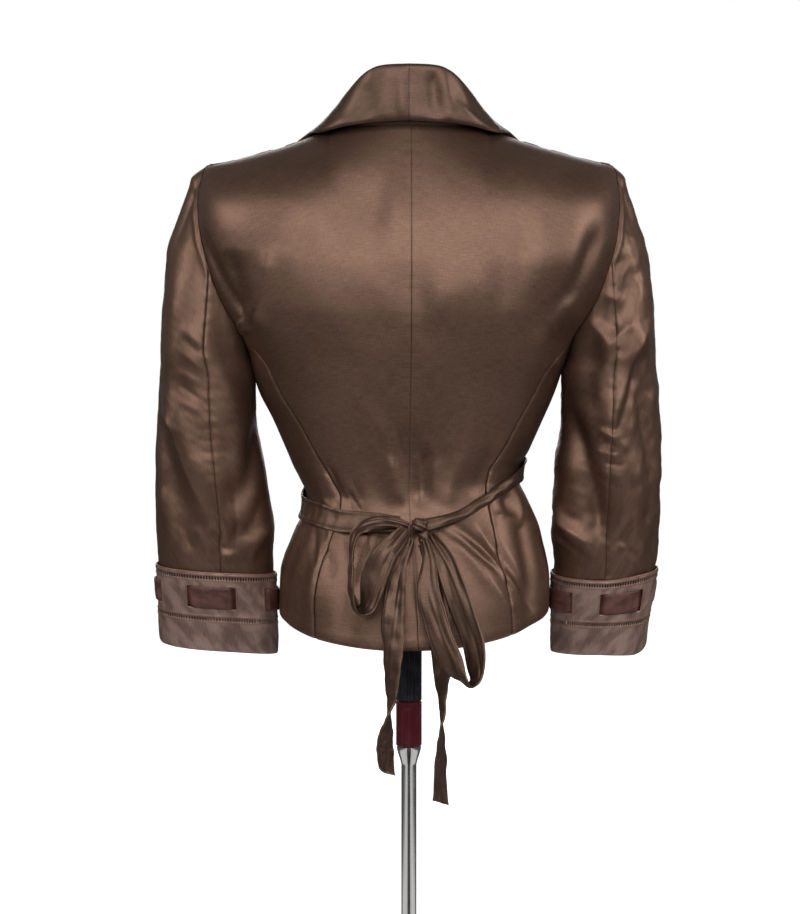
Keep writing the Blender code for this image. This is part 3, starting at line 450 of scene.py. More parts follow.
def chromeFinish():
    made, wire, shader = newFinish("standChrome", Metallic=1.0)
    body = objectSpace(wire)
    haze = body.noise(chromeLook["haze"], detail=4.0)
    scratch = body.noise(1.0, chromeLook["scratch"], 2.0)
    haze.blend(chromeLook["dull"], chromeLook["bright"]).into(shader, "Base Color")
    (0.07 + 0.12 * haze.spread(0.35, 0.8) + 0.08 * scratch).into(shader, "Roughness")
    return made


formLook = {
    "dark": (0.018, 0.017, 0.016, 1),
    "light": (0.05, 0.047, 0.044, 1),
    "weft": (160, 160, 2200),
    "warp": (2200, 2200, 160),
    "cloud": 14.0,
    "relief": 0.0005,
}


def formFinish():
    made, wire, shader = newFinish("formCloth")
    body = objectSpace(wire)
    weave = body.noise(1.0, formLook["weft"], 2.0) * 0.5 + body.noise(1.0, formLook["warp"], 2.0) * 0.5
    cloud = body.noise(formLook["cloud"], detail=3.0)
    tone = (weave * 0.7 + cloud * 0.3).spread(0.3, 0.7)
    tone.blend(formLook["dark"], formLook["light"]).into(shader, "Base Color")
    (0.8 + 0.2 * (cloud - 0.5)).into(shader, "Roughness")
    bump(weave, 0.4, formLook["relief"]).into(shader, "Normal")
    return made


# the collar and the tie belt are the jacket's own satin; these copies are darker as painted shade
shadedCollarLook = {**satinLook, "dark": (0.085, 0.047, 0.031, 1), "light": (0.18, 0.104, 0.072, 1)}
shadedTieLook = {**satinLook, "dark": (0.085, 0.047, 0.031, 1), "light": (0.195, 0.113, 0.078, 1)}
satin = satinFinish("brownSatin", satinLook)
shadedCollarSatin = satinFinish("shadedCollarSatin", shadedCollarLook)
shadedTieSatin = satinFinish("shadedTieSatin", shadedTieLook)
cuffSatin = cuffFinish()
leather = leatherFinish()
blackLacquer = lacquerFinish("black")
redLacquer = lacquerFinish("red")
chrome = chromeFinish()
formCloth = formFinish()
print("finishes made")


# jacket body: outer surface at each height

jacket = {
    "z": (405, 446, 476, 490, 505, 520, 534, 549, 564, 577, 592, 621, 650, 674, 699,
          735, 770, 800, 830, 852, 866, 870, 877, 885, 893, 905),
    "left": (124, 126, 124.5, 121, 115, 108.5, 101, 99.5, 105.5, 112, 118, 130.5, 145, 152, 159,
             183, 197, 204, 206, 202.5, 196, 176, 149, 120, 98, 75),
    "right": (135, 136, 134.8, 132.5, 128.5, 124.5, 118.5, 112, 106.3, 107.5, 116, 129, 141.5, 149, 158,
              182, 196, 203, 205, 202.5, 197, 181, 154, 125, 100, 75),
    "back": (126, 120.5, 113, 108, 102, 96, 90, 86, 85, 86, 88, 95, 102, 107, 111,
             114, 113, 109, 101, 91, 82, 79.5, 75.2, 70.2, 65.3, 58),
    "front": (112, 111, 107, 105, 102, 99, 97, 96, 97, 99, 103, 113, 122, 127, 127,
              119, 107, 95, 82, 70, 60, 54, 47, 40, 34, 28),
    "square": (2.3, 2.3, 2.3, 2.3, 2.3, 2.3, 2.3, 2.3, 2.3, 2.3, 2.3, 2.3, 2.35, 2.5, 2.75,
               3.0, 3.1, 3.1, 2.9, 2.45, 2.0, 1.95, 1.95, 2.0, 2.1, 2.3),
    "frontSquare": 2.3,
    "hemSide": 437,
    "hemDipBack": 24,
    "hemDipFront": 15,
    "hemLeftDrop": 5,
    "hemEaseTop": 560,
    "princessZ": (405, 446, 490, 520, 550, 580, 610, 641, 675, 703),
    "princessDegrees": (44, 42, 39, 38, 40, 44, 49, 53.5, 60, 77.6),
    "princessTop": 703,
    "centreZ": (413, 470, 520, 560, 720, 905),
    "centreX": (8.5, 6.2, 1.5, 0, 2, 2.2),
    "shoulderTip": 866,
    "neck": 905,
    "neckHalf": 75,
    "sideLevels": (437, 452, 470, 488, 506, 522, 536, 550, 564, 580, 600, 625, 650, 676, 703),
    "creaseEase": 30,
    "crumple": ((0.3, 74, 0.7), (0.05, 19, 2.1)),  # height, size, seed
    "gatherShift": 40,
    "cloth": 1.2,
}
shoulder = {  # how the cloth rolls over the shoulders: powers at the middle and at the outside
    "from": 790, "ease": 60, "base": 770, "wideTop": 852, "outer": 140,
    "backBow": (1.7, 2.6), "backRoll": (1.3, 2.0), "frontBow": (1.3, 2.0), "frontRoll": (1.3, 2.0),
    "backDepth": 113, "frontDepth": 107, "backSquare": 3.1, "backNeck": 58, "frontNeck": 28, "rows": 6,
    "neckSquare": 2.3, "close": (40, 0.4),
}
armhole = {
    "middle": 778, "half": 88, "biteBack": 14, "biteFront": 19, "lowBite": 3, "power": 0.6,
    "gap": 0.3, "tuck": -1.0,
}
frontEdge = {
    "seamDegrees": 106, "seamBend": 640, "overlap": 14, "reach": 88, "break": 600,
    "lift": 3.8, "liftFrom": 42, "liftEase": 26,
    "curve": 0.95, "middle": 150, "rolled": (0.8, 1.6),
}
bodyFolds = (
    (13, 526, 34, 488, 6, -3.6),
    (21, 522, 46, 466, 5, 2.6),
    (-13, 520, -20, 470, 7, -3.2),
    (-67, 795, -57, 722, 13, -5.0),
    (52, 800, 43, 730, 15, -4.0),
    (-12, 632, -4, 548, 10, 3.2),
    (9, 600, 6, 545, 9, -4.0),
    (-44, 585, -34, 545, 8, -2.6),
    (-22, 524, -27, 428, 12, -4.0),
    (-40, 520, -45, 440, 11, 3.6),
    (-66, 524, -72, 440, 13, -3.6),
    (22, 520, 40, 430, 15, 4.2),
    (5, 528, 7, 455, 8, -6.5),
    (31, 520, 58, 446, 7, -2.6),
    (58, 545, 56, 440, 14, -4.4),
    (80, 550, 76, 450, 12, 3.0),
    (-128, 530, -124, 440, 13, -4.0),
    (-150, 526, -146, 432, 12, 3.4),
    (126, 540, 122, 440, 13, -4.0),
    (148, 530, 144, 432, 12, 3.4),
)
backCreases = (
    (9, 592, 11, 546, 0, 7, -1.2, 0.8),
    (26, 596, 20, 546, 0, 7, 2.6, 0.8),
    (-17, 592, -6, 548, 0, 6, 2.4, 0.8),
    (-57, 574, -45, 548, 0, 5, -1.5, 0.8),
    (-72, 528, -88, 448, 0, 10, 3.0, 0.9),
    (-131, 786, -149, 716, 3, 8, 4.0, 0.8),
    (-170, 780, -158, 728, 0, 10, -6.4, 0.9),
    (-161, 719, -153, 708, 0, 5, 4.4, 0.8),
    (-75, 830, -20, 824, 0, 32, -4.5, 1),
    (15, 744, 80, 748, 0, 40, 4.0, 1),
    (14, 600, 12, 548, 0, 11, -3.0, 1),
    (155, 742, 119, 703, 0, 10, 2.6, 0.8),
    (-102, 847, -138, 776, 6, 22, 1.6, 1),
    (110, 782, 165, 778, 0, 30, 4.0, 1),
    (-77, 581, -69, 542, 2, 4, -2.6, 0.7),
    (-60, 560, -45, 537, 0, 3.5, -2.2, 0.7),
    (-86, 566, -78, 542, 0, 3.5, 1.6, 0.7),
    (57, 598, 34, 542, -4, 9, 2.4, 0.9),
    (85, 609, 64, 555, -3, 7, -1.8, 0.9),
    (-91, 527, -87, 490, 0, 3.5, -2.4, 0.7),
    (-79, 525, -73, 480, 0, 4, -2.6, 0.7),
    (-60, 527, -56, 490, 0, 3.5, -2.2, 0.7),
    (-102, 530, -100, 508, 0, 3, -1.3, 0.7),
    (-41, 523, -31, 487, 0, 4, 1.4, 0.8),
    (97, 565, 108, 525, 3, 5, 2.6, 0.7),
    (108, 524, 81, 535, -4, 5, 2.2, 0.7),
    (91, 553, 96, 532, 0, 5, -2.2, 0.8),
    (34, 530, 92, 452, 0, 7, 3.0, 0.7),
    (66, 525, 96, 474, 0, 5, -1.6, 0.8),
    (-11, 617, -5, 542, 2, 6, -1.8, 0.9),
    (19, 609, 25, 553, 0, 8, 1.8, 0.9),
    (-27, 740, -74, 665, 8, 26, -1.4, 1),
    (43, 740, 85, 673, -8, 26, -1.2, 1),
    (-161, 712, -149, 692, 0, 5, 2.2, 0.8),
    (-149, 693, -134, 669, 0, 6, -1.4, 0.9),
    (141, 698, 134, 673, 0, 6, 1.8, 0.8),
)
frontCreases = (
    (-150, 760, -118, 700, 4, 9, -3.0, 0.8),
    (150, 764, 122, 704, -4, 9, -2.8, 0.8),
    (-128, 742, -96, 676, 6, 12, 2.2, 0.9),
    (134, 738, 100, 668, -6, 12, 2.2, 0.9),
    (-96, 640, -62, 590, 3, 7, -2.2, 0.8),
    (92, 646, 54, 592, -3, 7, -2.0, 0.8),
    (-70, 630, -40, 584, 2, 6, 1.8, 0.8),
    (64, 622, 34, 586, -2, 6, 1.8, 0.8),
    (-84, 558, -88, 500, 0, 6, -1.8, 0.8),
    (-52, 556, -58, 486, 0, 7, 1.8, 0.8),
    (46, 556, 56, 480, 2, 8, -2.0, 0.8),
    (84, 560, 92, 500, 0, 6, 1.6, 0.8),
)
hemTurn = {"tuck": (1.3, 1.6), "ridge": (0.35, 9, 4)}  # depth, reach; height, place, reach


def rolledEdge(turn, above):  # a turned edge: tucked in at the end, with a ridge above
    depth, reach = turn["tuck"]
    height, up, wide = turn["ridge"]
    return height * bell(above - up, wide) - depth * bell(above, reach)


def shoulderDepth(x, z, side, face):
    outer = smooth(x / shoulder["outer"])
    bow, roll = (mix(*shoulder[face + power], outer) for power in ("Bow", "Roll"))
    square = shoulder["backSquare"] if face == "back" else jacket["frontSquare"]
    levels, widths, rows = jacket["z"], jacket[side], shoulder["rows"]
    wide = along(levels, widths, np.minimum(z, shoulder["wideTop"]))
    full = shoulder[face + "Depth"] * (1 - np.minimum(0.999, x / wide) ** square) ** (1 / square)
    neckSquare = shoulder["neckSquare"]
    oval = np.maximum(0, 1 - (x / jacket["neckHalf"]) ** neckSquare) ** (1 / neckSquare)
    share = (1 - (shoulder[face + "Neck"] * oval / full) ** roll) ** (1 / bow)
    ridge = along(widths[:-rows - 1:-1], levels[:-rows - 1:-1], x) - shoulder["base"]
    ridge = np.where(x < jacket["neckHalf"], (jacket["neck"] - shoulder["base"]) / share, ridge)
    risen = np.clip((z - shoulder["base"]) / ridge, 0, 1)
    steep, blunt = shoulder["close"]
    close = (1 - np.minimum(1, x / along(levels, widths, z)) ** steep) ** blunt
    return full * (1 - risen ** bow) ** (1 / roll) * close


def bodyParts(degrees, z):
    degrees = (degrees + 180) % 360 - 180
    angle = np.radians(degrees)
    back = np.abs(degrees) <= 90
    levels = jacket["z"]
    width = np.where(degrees >= 0, along(levels, jacket["right"], z), along(levels, jacket["left"], z))
    depth = np.where(back, along(levels, jacket["back"], z), along(levels, jacket["front"], z))
    power = 2 / np.where(back, along(levels, jacket["square"], z), jacket["frontSquare"])
    x = width * signedPower(np.sin(angle), power)
    y = -depth * signedPower(np.cos(angle), power)
    nx, ny = x / width ** 2, y / depth ** 2
    size = np.hypot(nx, ny)
    rolled = np.zeros_like(x)
    for side in sideSign:
        for face in ("back", "front"):
            here = ((degrees >= 0) == (side == "right")) & (back == (face == "back"))
            reach = shoulderDepth(np.abs(x), z, side, face) * (-1 if face == "back" else 1)
            rolled = np.where(here, reach, rolled)
    y = mix(y, rolled, smooth((z - shoulder["from"]) / shoulder["ease"]))
    return degrees, x, y, nx / size, ny / size, (width + depth) / 2


def onBody(degrees, z, out=0.0, folded=True):
    z = np.asarray(z, float) + np.zeros_like(degrees, float)
    degrees, x, y, nx, ny, radius = bodyParts(np.asarray(degrees, float), z)
    if folded:
        out = out + foldHeight(bodyFolds, degrees, z, radius)
        out = out + creaseHeight(backCreases, x, z) * smooth(-y / jacket["creaseEase"])
        out = out + creaseHeight(frontCreases, x, z) * smooth(y / jacket["creaseEase"])
        for height, size, seed in jacket["crumple"]:
            out = out + height * crumple(x + y, z, size, seed)
    return np.stack((x + nx * out, y + ny * out, z), axis=-1)


def evenAngle(degrees, power):  # with 2 / square, equal steps become nearly equal lengths round the back
    angle = np.radians(np.abs(degrees))
    even = np.arctan2(np.sin(angle) ** power, np.maximum(0, np.cos(angle)) ** power)
    return np.degrees(even) * np.sign(degrees)


def roundTo(degrees, z):  # millimetres round the body for an angle
    return np.radians(degrees) * bodyParts(np.zeros_like(z), z)[5]


def hem(degrees):
    turn = np.radians(degrees)
    dip = np.where(np.abs(degrees) < 90, jacket["hemDipBack"], jacket["hemDipFront"])
    drop = jacket["hemLeftDrop"] * np.maximum(0, -np.sin(turn))
    return jacket["hemSide"] - drop - dip * np.cos(turn) ** 2


def lowered(level, degrees):
    share = (jacket["hemEaseTop"] - level) / (jacket["hemEaseTop"] - jacket["hemSide"])
    return level + (hem(degrees) - jacket["hemSide"]) * np.maximum(0, share)


def armholeDegrees(turn, bite):
    sine = np.abs(np.sin(np.radians(turn)))
    low = 1 - np.cos(np.radians(turn))
    return 90 - bite * sine ** armhole["power"] - armhole["lowBite"] * sine * low


def turnAt(z):
    return np.degrees(np.arccos(np.clip((z - armhole["middle"]) / armhole["half"], -1, 1)))


def backLimit(z):
    princess = along(jacket["princessZ"], jacket["princessDegrees"], z)
    arm = armholeDegrees(turnAt(z), armhole["biteBack"])
    return np.where(z <= jacket["princessTop"], princess, np.where(z < jacket["shoulderTip"], arm, 90.0))


def frontLimit(z):
    top, bend = jacket["princessTop"], frontEdge["seamBend"]
    rise = smooth((z - bend) / (top - bend)) ** 2
    low = mix(frontEdge["seamDegrees"], 180 - armholeDegrees(turnAt(top), armhole["biteFront"]), rise)
    arm = 180 - armholeDegrees(turnAt(z), armhole["biteFront"])
    return np.where(z <= top, low, np.where(z < jacket["shoulderTip"], arm, 90.0))


def necklineX(z):
    share = np.maximum(0, (z - frontEdge["break"]) / (jacket["neck"] - frontEdge["break"]))
    return frontEdge["reach"] * share ** frontEdge["curve"] - frontEdge["overlap"]


def degreesAt(x, z, side):
    width = along(jacket["z"], jacket[side], z)
    return 180 - np.degrees(np.arcsin(signedPower(x / width, jacket["frontSquare"] / 2)))


def overlapLift(x, side):
    if side == "left":
        return np.zeros_like(x)
    return frontEdge["lift"] * smooth((frontEdge["liftFrom"] - x) / frontEdge["liftEase"])


def frontY(x, z, side):
    x = np.minimum(x, along(jacket["z"], jacket[side], z))
    return bodyParts(sideSign[side] * degreesAt(x, z, side), z)[2] + overlapLift(x, side)


def backPanel(side):
    sign = sideSign[side]
    columns = ("right", "back", "square")

    def layBack(u, level):
        z = lowered(level, sign * u * backLimit(level))
        width, depth, square = (along(jacket["z"], jacket[column], z) for column in columns)
        limit = evenAngle(backLimit(z), 2 / square)
        centre = sign * np.degrees(along(jacket["centreZ"], jacket["centreX"], z) / width)
        even = mix(centre, limit, u)
        degrees = sign * evenAngle(even, square / 2)
        turn = np.radians(even)
        fromCentre = np.radians(even - centre) * width
        fromSide = np.radians(limit - even) * np.hypot(depth * np.sin(turn), width * np.cos(turn))
        out = sewnLine("centreBack", fromCentre, z)
        out = out + sewnLine("backToSide", fromSide, z + jacket["gatherShift"] * sign)
        out = out + rolledEdge(hemTurn, z - hem(degrees))
        return onBody(degrees, z, out)

    return layBack


def sidePanel(side):
    sign = sideSign[side]
    levels = jacket["sideLevels"]

    def laySide(u, v):
        level = np.interp(v * (len(levels) - 1), range(len(levels)), levels)
        turn = 180 - (180 - turnAt(jacket["princessTop"])) * np.abs(2 * u - 1)
        dip = jacket["princessTop"] - armhole["middle"] - armhole["half"] * np.cos(np.radians(turn))
        z = lowered(level, sign * mix(backLimit(level), frontLimit(level), u))
        first, last = backLimit(z), frontLimit(z)
        degrees = mix(first, last, u)
        z = z - dip * smooth(2 * v - 1)
        out = sewnLine("sideToBack", roundTo(degrees - first, z), z + jacket["gatherShift"] * sign)
        out = out + sewnLine("sideToFront", roundTo(last - degrees, z), z)
        out = out + rolledEdge(hemTurn, z - hem(sign * degrees))
        return onBody(sign * degrees, z, out)

    return laySide


def frontPanel(side):
    sign = sideSign[side]
    depth, reach = frontEdge["rolled"]

    def layFront(u, level):
        z = lowered(level, np.full_like(u, sign * frontEdge["middle"]))
        edge = degreesAt(necklineX(z), z, side)
        first = frontLimit(z)
        degrees = mix(first, edge, u)
        turn = sign * np.minimum(180, degrees)
        z = lowered(level, turn)
        out = sewnLine("sideToFront", roundTo(degrees - first, z), z)
        out = out + rolledEdge(hemTurn, z - hem(turn))
        out = out - depth * bell(roundTo(edge - degrees, z), reach)
        point = onBody(sign * degrees, z, out)
        point[..., 1] += overlapLift(sign * point[..., 0], side)
        return point

    return layFront


bodyLevels = np.concatenate((
    (437, 438, 439, 440.5), np.linspace(443, 858, 190), (860, 862, 863.5, 864.6, 865.4, 866),
    np.linspace(866.6, 905, 48),
))
sideRows = np.concatenate(((0, 0.003, 0.006, 0.01), np.linspace(0.018, 1, 130)))
panels = {  # how it lies, columns, rows, stitched edges, flat width and length in metres, area
    "back": (backPanel, 90, bodyLevels, {"first": (0.5, 0.8), "last": (0.9, 0.7)}, (0.235, 0.52), 0.081),
    "side": (sidePanel, 52, sideRows, {"first": (0.6, 0.6), "last": (0.7, 0.8)}, (0.145, 0.29), 0.033),
    "front": (frontPanel, 46, bodyLevels, {"first": (0.7, 0.9)}, (0.19, 0.51), 0.0815),
}
for side in sideSign:
    for node, (panel, columns, rows, sewn, flat, area) in panels.items():
        name = f"{node}_panel_{side}"
        made = clothSheet(name, edged(columns), rows, panel(side), side == "left", sewn=sewn)
        thicken(made, jacket["cloth"])
        place(made, satin, "satin", f"{node}_{side}")
print("jacket body sewn")


# sleeves: outer and inner line, middle and half depth at each height

sleeve = {
    "left": {
        "z": (395, 447, 490, 519, 549, 578, 607, 636, 665, 694, 737, 781, 810, 839, 854, 866),
        "outer": (239.5, 241.5, 244, 245.5, 245.5, 245, 244.5, 243.5, 241, 239.6,
                  236.6, 234.3, 227, 217, 211, 198),
        "inner": (131, 131.5, 132, 131, 134.8, 139.5, 145, 148, 151.5, 160, 160, 160, 160, 160, 160, 160),
        "seam": 96,
        "folds": (
            (18, 640, 78, 505, 15, -6.5),
            (48, 655, 100, 530, 13, 4.0),
            (172, 620, 118, 545, 14, -5.0),
            (150, 520, 112, 492, 9, 1.5),
            (-60, 640, -120, 560, 15, -5.0),
        ),
        "crumple": (0.4, 0.12),
        "creases": (
            (-216, 713, -198, 697, 0, 4, 0.9, 0.8),
            (-216, 703, -199, 688, 0, 4, -0.9, 0.8),
            (-217, 690, -198, 674, 0, 4, 0.8, 0.8),
            (-216, 671, -200, 661, 0, 3.5, 0.7, 0.8),
            (-234, 645, -194, 536, -4, 5, 3.4, 0.6),
            (-240, 632, -219, 611, 0, 6, 2.4, 0.8),
            (-221, 670, -203, 659, 0, 3.2, 0.5, 0.8),
            (-218, 658, -199, 645, 0, 3.2, -0.7, 0.8),
            (-220, 644, -198, 633, 0, 3.4, 0.7, 0.8),
            (-186, 521, -175, 497, 0, 5, -3.2, 0.8),
            (-162, 523, -174, 497, 0, 5, -3.0, 0.8),
            (-153, 488, -132, 521, 2, 5, 3.2, 0.7),
            (-206, 521, -188, 492, 0, 6, 2.6, 0.8),
            (-167, 550, -164, 509, 0, 2.4, -1.6, 0.7),
            (-141, 548, -162, 509, 3, 6, -2.4, 0.8),
            (-223, 529, -209, 498, 0, 6, -2.4, 0.8),
            (-230, 739, -223, 662, -3, 9, 1.8, 1),
            (-207, 787, -213, 710, 0, 12, -1.8, 1),
            (-171, 662, -158, 595, 3, 9, 1.6, 1),
            (-179, 605, -165, 548, 2, 7, -1.6, 0.9),
            (-238, 557, -227, 509, 0, 7, 2.2, 0.9),
        ),
    },
    "right": {
        "z": (395, 447, 490, 519, 549, 578, 607, 636, 665, 694, 737, 781, 810, 839, 854, 866),
        "outer": (228, 234.5, 240.5, 242.5, 243.5, 243.5, 243.2, 242, 239.8, 237.2,
                  235.8, 231, 223.5, 214.5, 209.5, 199),
        "inner": (141, 141.5, 140.5, 138.2, 139.5, 141.4, 144.3, 147.3, 151, 159,
                  159, 159, 159, 159, 159, 159),
        "seam": 91,
        "folds": (
            (60, 760, 100, 700, 14, -5.0),
            (64, 690, 40, 560, 13, -6.0),
            (96, 650, 66, 520, 14, 4.5),
            (150, 640, 96, 520, 14, -6.0),
            (168, 545, 116, 500, 9, 4.0),
            (-60, 640, -120, 560, 15, -5.0),
        ),
        "crumple": (0.8, 0.3),
        "creases": (
            (167, 706, 195, 691, 2, 8, 3.0, 0.8),
            (176, 790, 226, 799, 3, 6, 2.0, 0.8),
            (170, 760, 214, 778, 2, 7, -2.2, 0.9),
            (174, 748, 206, 736, 0, 5, 2.2, 0.7),
            (166, 722, 191, 698, 2, 5, 3.2, 0.7),
            (192, 697, 213, 716, 2, 5, 2.4, 0.7),
            (229, 717, 192, 600, -5, 6, 4.0, 0.7),
            (177, 690, 168, 630, 0, 12, -3.6, 1),
            (182, 618, 204, 597, 0, 4, 2.4, 0.7),
            (226, 575, 218, 500, 0, 9, 2.2, 0.9),
            (222, 708, 203, 624, 4, 9, 3.0, 0.9),
            (215, 680, 194, 611, 3, 7, -4.6, 0.8),
            (154, 626, 184, 502, 6, 9, -4.6, 0.9),
            (136, 530, 177, 500, 2, 5, 4.2, 0.6),
            (140, 509, 160, 495, 0, 3.4, 1.6, 0.8),
            (201, 503, 222, 491, 0, 3.6, 1.8, 0.8),
            (180, 614, 201, 609, 0, 2.3, 1.5, 0.8),
            (183, 605, 202, 599, 0, 2.3, -1.6, 0.8),
            (180, 595, 200, 590, 0, 2.3, 1.6, 0.8),
            (184, 586, 203, 581, 0, 2.4, -1.6, 0.8),
            (181, 576, 201, 570, 0, 2.4, 1.5, 0.8),
            (186, 566, 203, 560, 0, 2.4, -1.4, 0.8),
            (225, 615, 209, 529, 3, 8, 2.4, 0.9),
            (213, 548, 198, 500, 2, 6, -2.6, 0.8),
            (165, 681, 150, 624, 0, 10, 2.0, 1),
            (206, 777, 221, 710, 3, 11, -2.0, 1),
            (186, 739, 173, 691, 0, 8, -1.8, 0.9),
            (232, 529, 221, 494, 0, 6, 2.0, 0.9),
        ),
    },
    "middle": (9, 3, -1, -4, -6, -8, -7, -6, -4, -3, -3, -2, -1, 0, 0, 0),
    "depth": (33, 35, 38, 42, 45, 48, 50, 52, 54, 56, 56, 54, 51, 47, 43, 38),
    "frontCreases": (  # mirrored for each sleeve
        (160, 660, 215, 560, 6, 9, -3.2, 0.8),
        (175, 680, 226, 590, 4, 8, 2.4, 0.8),
        (150, 600, 200, 520, 5, 8, 2.6, 0.7),
        (226, 560, 180, 500, -4, 8, -2.8, 0.8),
        (205, 540, 160, 496, -3, 6, 2.0, 0.8),
        (215, 770, 225, 690, 3, 11, -2.0, 1),
    ),
    "square": 2.15, "frontSeam": -100, "capEase": 0.3, "capPower": 1.1, "end": 468, "cloth": 1.2,
    "creaseEase": (0.1, 0.4), "crumpleSizes": ((46, 1.9), (15, 3.1)), "crumpleSlope": 0.6,
    "head": (2.2, 9, 7), "headTurn": (1.4, 0.4), "gatherTurn": 1.1,  # the ridge below the shoulder seam
    "seamFade": 6, "gatherFade": 3, "wornBelow": 30,  # millimetres below the armhole
    "sewn": {"first": (0.5, 0.35), "last": (0.5, 0.35), "top": (1.9, 1.0)},
    "cut": {  # columns, rows, flat width and length in metres, area
        "sleeve_top": (84, 165, (0.236, 0.41), 0.06),
        "sleeve_under": (72, 140, (0.237, 0.317), 0.036),
    },
}


def sleeveParts(side, turn, z):
    levels = sleeve[side]["z"]
    outer, inner = along(levels, sleeve[side]["outer"], z), along(levels, sleeve[side]["inner"], z)
    depth = along(levels, sleeve["depth"], z)
    half = (outer - inner) / 2
    angle = np.radians(turn)
    power = 2 / sleeve["square"]
    x = half * signedPower(np.cos(angle), power)
    y = -depth * signedPower(np.sin(angle), power)
    nx, ny = x / half ** 2, y / depth ** 2
    size = np.hypot(nx, ny)
    x = x + (outer + inner) / 2
    y = y + along(levels, sleeve["middle"], z)
    return x, y, nx / size, ny / size, (half + depth) / 2


def onSleeve(side, turn, z, out=0.0, creased=True):
    sign = sideSign[side]
    x, y, nx, ny, radius = sleeveParts(side, turn, z)
    out = out + foldHeight(sleeve[side]["folds"], turn, z, radius)
    if creased:
        behind = np.sin(np.radians(turn))
        past, ease = sleeve["creaseEase"]
        out = out + creaseHeight(sleeve[side]["creases"], sign * x, z) * smooth((behind + past) / ease)
        out = out + creaseHeight(sleeve["frontCreases"], x, z) * smooth((past - behind) / ease)
        for height, (size, seed) in zip(sleeve[side]["crumple"], sleeve["crumpleSizes"]):
            out = out + height * crumple(x + sleeve["crumpleSlope"] * y, z, size, seed + sign)
    return np.stack((sign * (x + nx * out), y + ny * out, z + 0 * x), axis=-1)


def armholePoint(side, turn):
    sign = sideSign[side]
    z = armhole["middle"] + armhole["half"] * np.cos(np.radians(turn))
    back = armholeDegrees(turn, armhole["biteBack"])
    front = 180 - armholeDegrees(turn, armhole["biteFront"])
    point = onBody(sign * np.where(turn >= 0, back, front), z, armhole["tuck"])
    point[..., 0] += sign * armhole["gap"]
    return point


def sleevePanel(side, first, last):
    height, below, reach = sleeve["head"]
    lean, level = sleeve["headTurn"]

    def laySleeve(u, v):
        turn = mix(first, last, u)
        wrapped = (turn + 180) % 360 - 180
        start = armholePoint(side, wrapped)
        eased = v ** sleeve["capPower"]
        z = mix(start[..., 2], sleeve["end"], eased)
        offset = start - onSleeve(side, wrapped, start[..., 2], creased=False)
        offset[..., 2] = 0
        radius = sleeveParts(side, wrapped, z)[4]
        fromCap = eased * (start[..., 2] - sleeve["end"])
        out = sum(sewnLine("sleeve", np.radians(away) * radius, z) for away in (turn - first, last - turn))
        out = out * smooth(fromCap / sleeve["seamFade"])
        out = out + height * bell(fromCap - below, reach) * smooth(np.cos(np.radians(wrapped)) * lean + level)
        gathered = sewnLine("sleeveHead", fromCap, turn * sleeve["gatherTurn"])
        out = out + gathered * smooth(fromCap / sleeve["gatherFade"])
        plain = onSleeve(side, wrapped, z, out, creased=False)
        worn = smooth(fromCap / sleeve["wornBelow"])[..., None]
        point = mix(plain, onSleeve(side, wrapped, z, out), worn)
        return point + offset * (1 - smooth(eased / sleeve["capEase"]))[..., None]

    return laySleeve


for side in sideSign:
    front, seam = sleeve["frontSeam"], sleeve[side]["seam"]
    turns = {"sleeve_top": (front, seam), "sleeve_under": (seam, front + 360)}
    for node, (columns, rows, flat, area) in sleeve["cut"].items():
        downs = np.concatenate((edgeShares, np.linspace(edgeRest, 1, rows)))
        lay = sleevePanel(side, *turns[node])
        name = f"{node}_cloth_{side}"
        made = clothSheet(name, edged(columns), downs, lay, side == "left", sewn=sleeve["sewn"])
        thicken(made, sleeve["cloth"])
        place(made, satin, "satin", f"{node}_{side}")
print("sleeves set in")


# collar: neck seam, roll and outer edge from the centre back round to the front

collar = {
    "seamDegrees": (0, 30, 62, 90, 90, 90, 90, 90),
    "seamZ": (905, 905, 905, 905, 886, 830, 745, 657),
    "roll": ((0, -63, 961), (33.5, -59, 957.5), (54.5, -37, 937.5), (64, -3, 915.5),
             (70, 44, 896), (53, 91, 833), (27.5, 125, 747), (3.5, 134, 660)),
    "edge": ((0, -70, 908), (47, -67, 905), (84, -44, 898), (101, 6, 896),
             (127, 58, 868), (128, 86, 815), (100, 111, 728), (22, 130, 652)),
    "backRows": 4,
    "rollHalf": 3.6, "rollShare": 0.7, "rollDrop": 2.4, "seamLap": -3.0, "seamLift": 1.6, "clear": 3.2,
    "rest": 5.6, "follow": 0.35, "restFrom": (0.36, 0.1), "frontFrom": (8, 24),
    "section": (  # between which two lines, how far, and roll widths outward
        ("seam", "seam", 0, 0),
        ("seam", "under", 0.55, -0.3),
        ("low", "low", 0, -0.4),
        ("roll", "roll", 0, 0.35),
        ("low", "low", 0, 1.5),
        ("roll", "edge", 0.35, 0.9),
        ("roll", "edge", 0.68, 0.4),
        ("edge", "edge", 0, 0),
    ),
    "fall": (0.4, 0.12), "crumple": (0.5, 40, 0.3), "centreFade": 6, "level": 0.35,
    "turn": {"tuck": (1.4, 1.8), "ridge": (0.4, 7, 3)}, "sewn": {"top": (0.5, 0.6)},
    "cloth": 2.0, "cut": (0.115, 0.48), "area": 0.0322,
    "creases": (
        (41, 926, 73, 904, 0, 3, 1.6, 0.7),
        (-8, 958, -7, 912, 0, 6, 2.0, 1),
        (-20, 957, -24, 912, 0, 8, 1.4, 1),
        (22, 952, 25, 911, 0, 6, -2.2, 1),
        (33, 950, 38, 911, 0, 6, 1.4, 1),
        (-66, 918, -85, 893, 0, 10, 1.2, 1),
        (-41, 942, -50, 906, 0, 9, -1.2, 1),
        (58, 931, 86, 897, 0, 7, -1.2, 0.9),
    ),
}


def pastBack(share):  # stations past the back of the neck
    return share * (len(collar["seamZ"]) - 1) - collar["backRows"] + 1


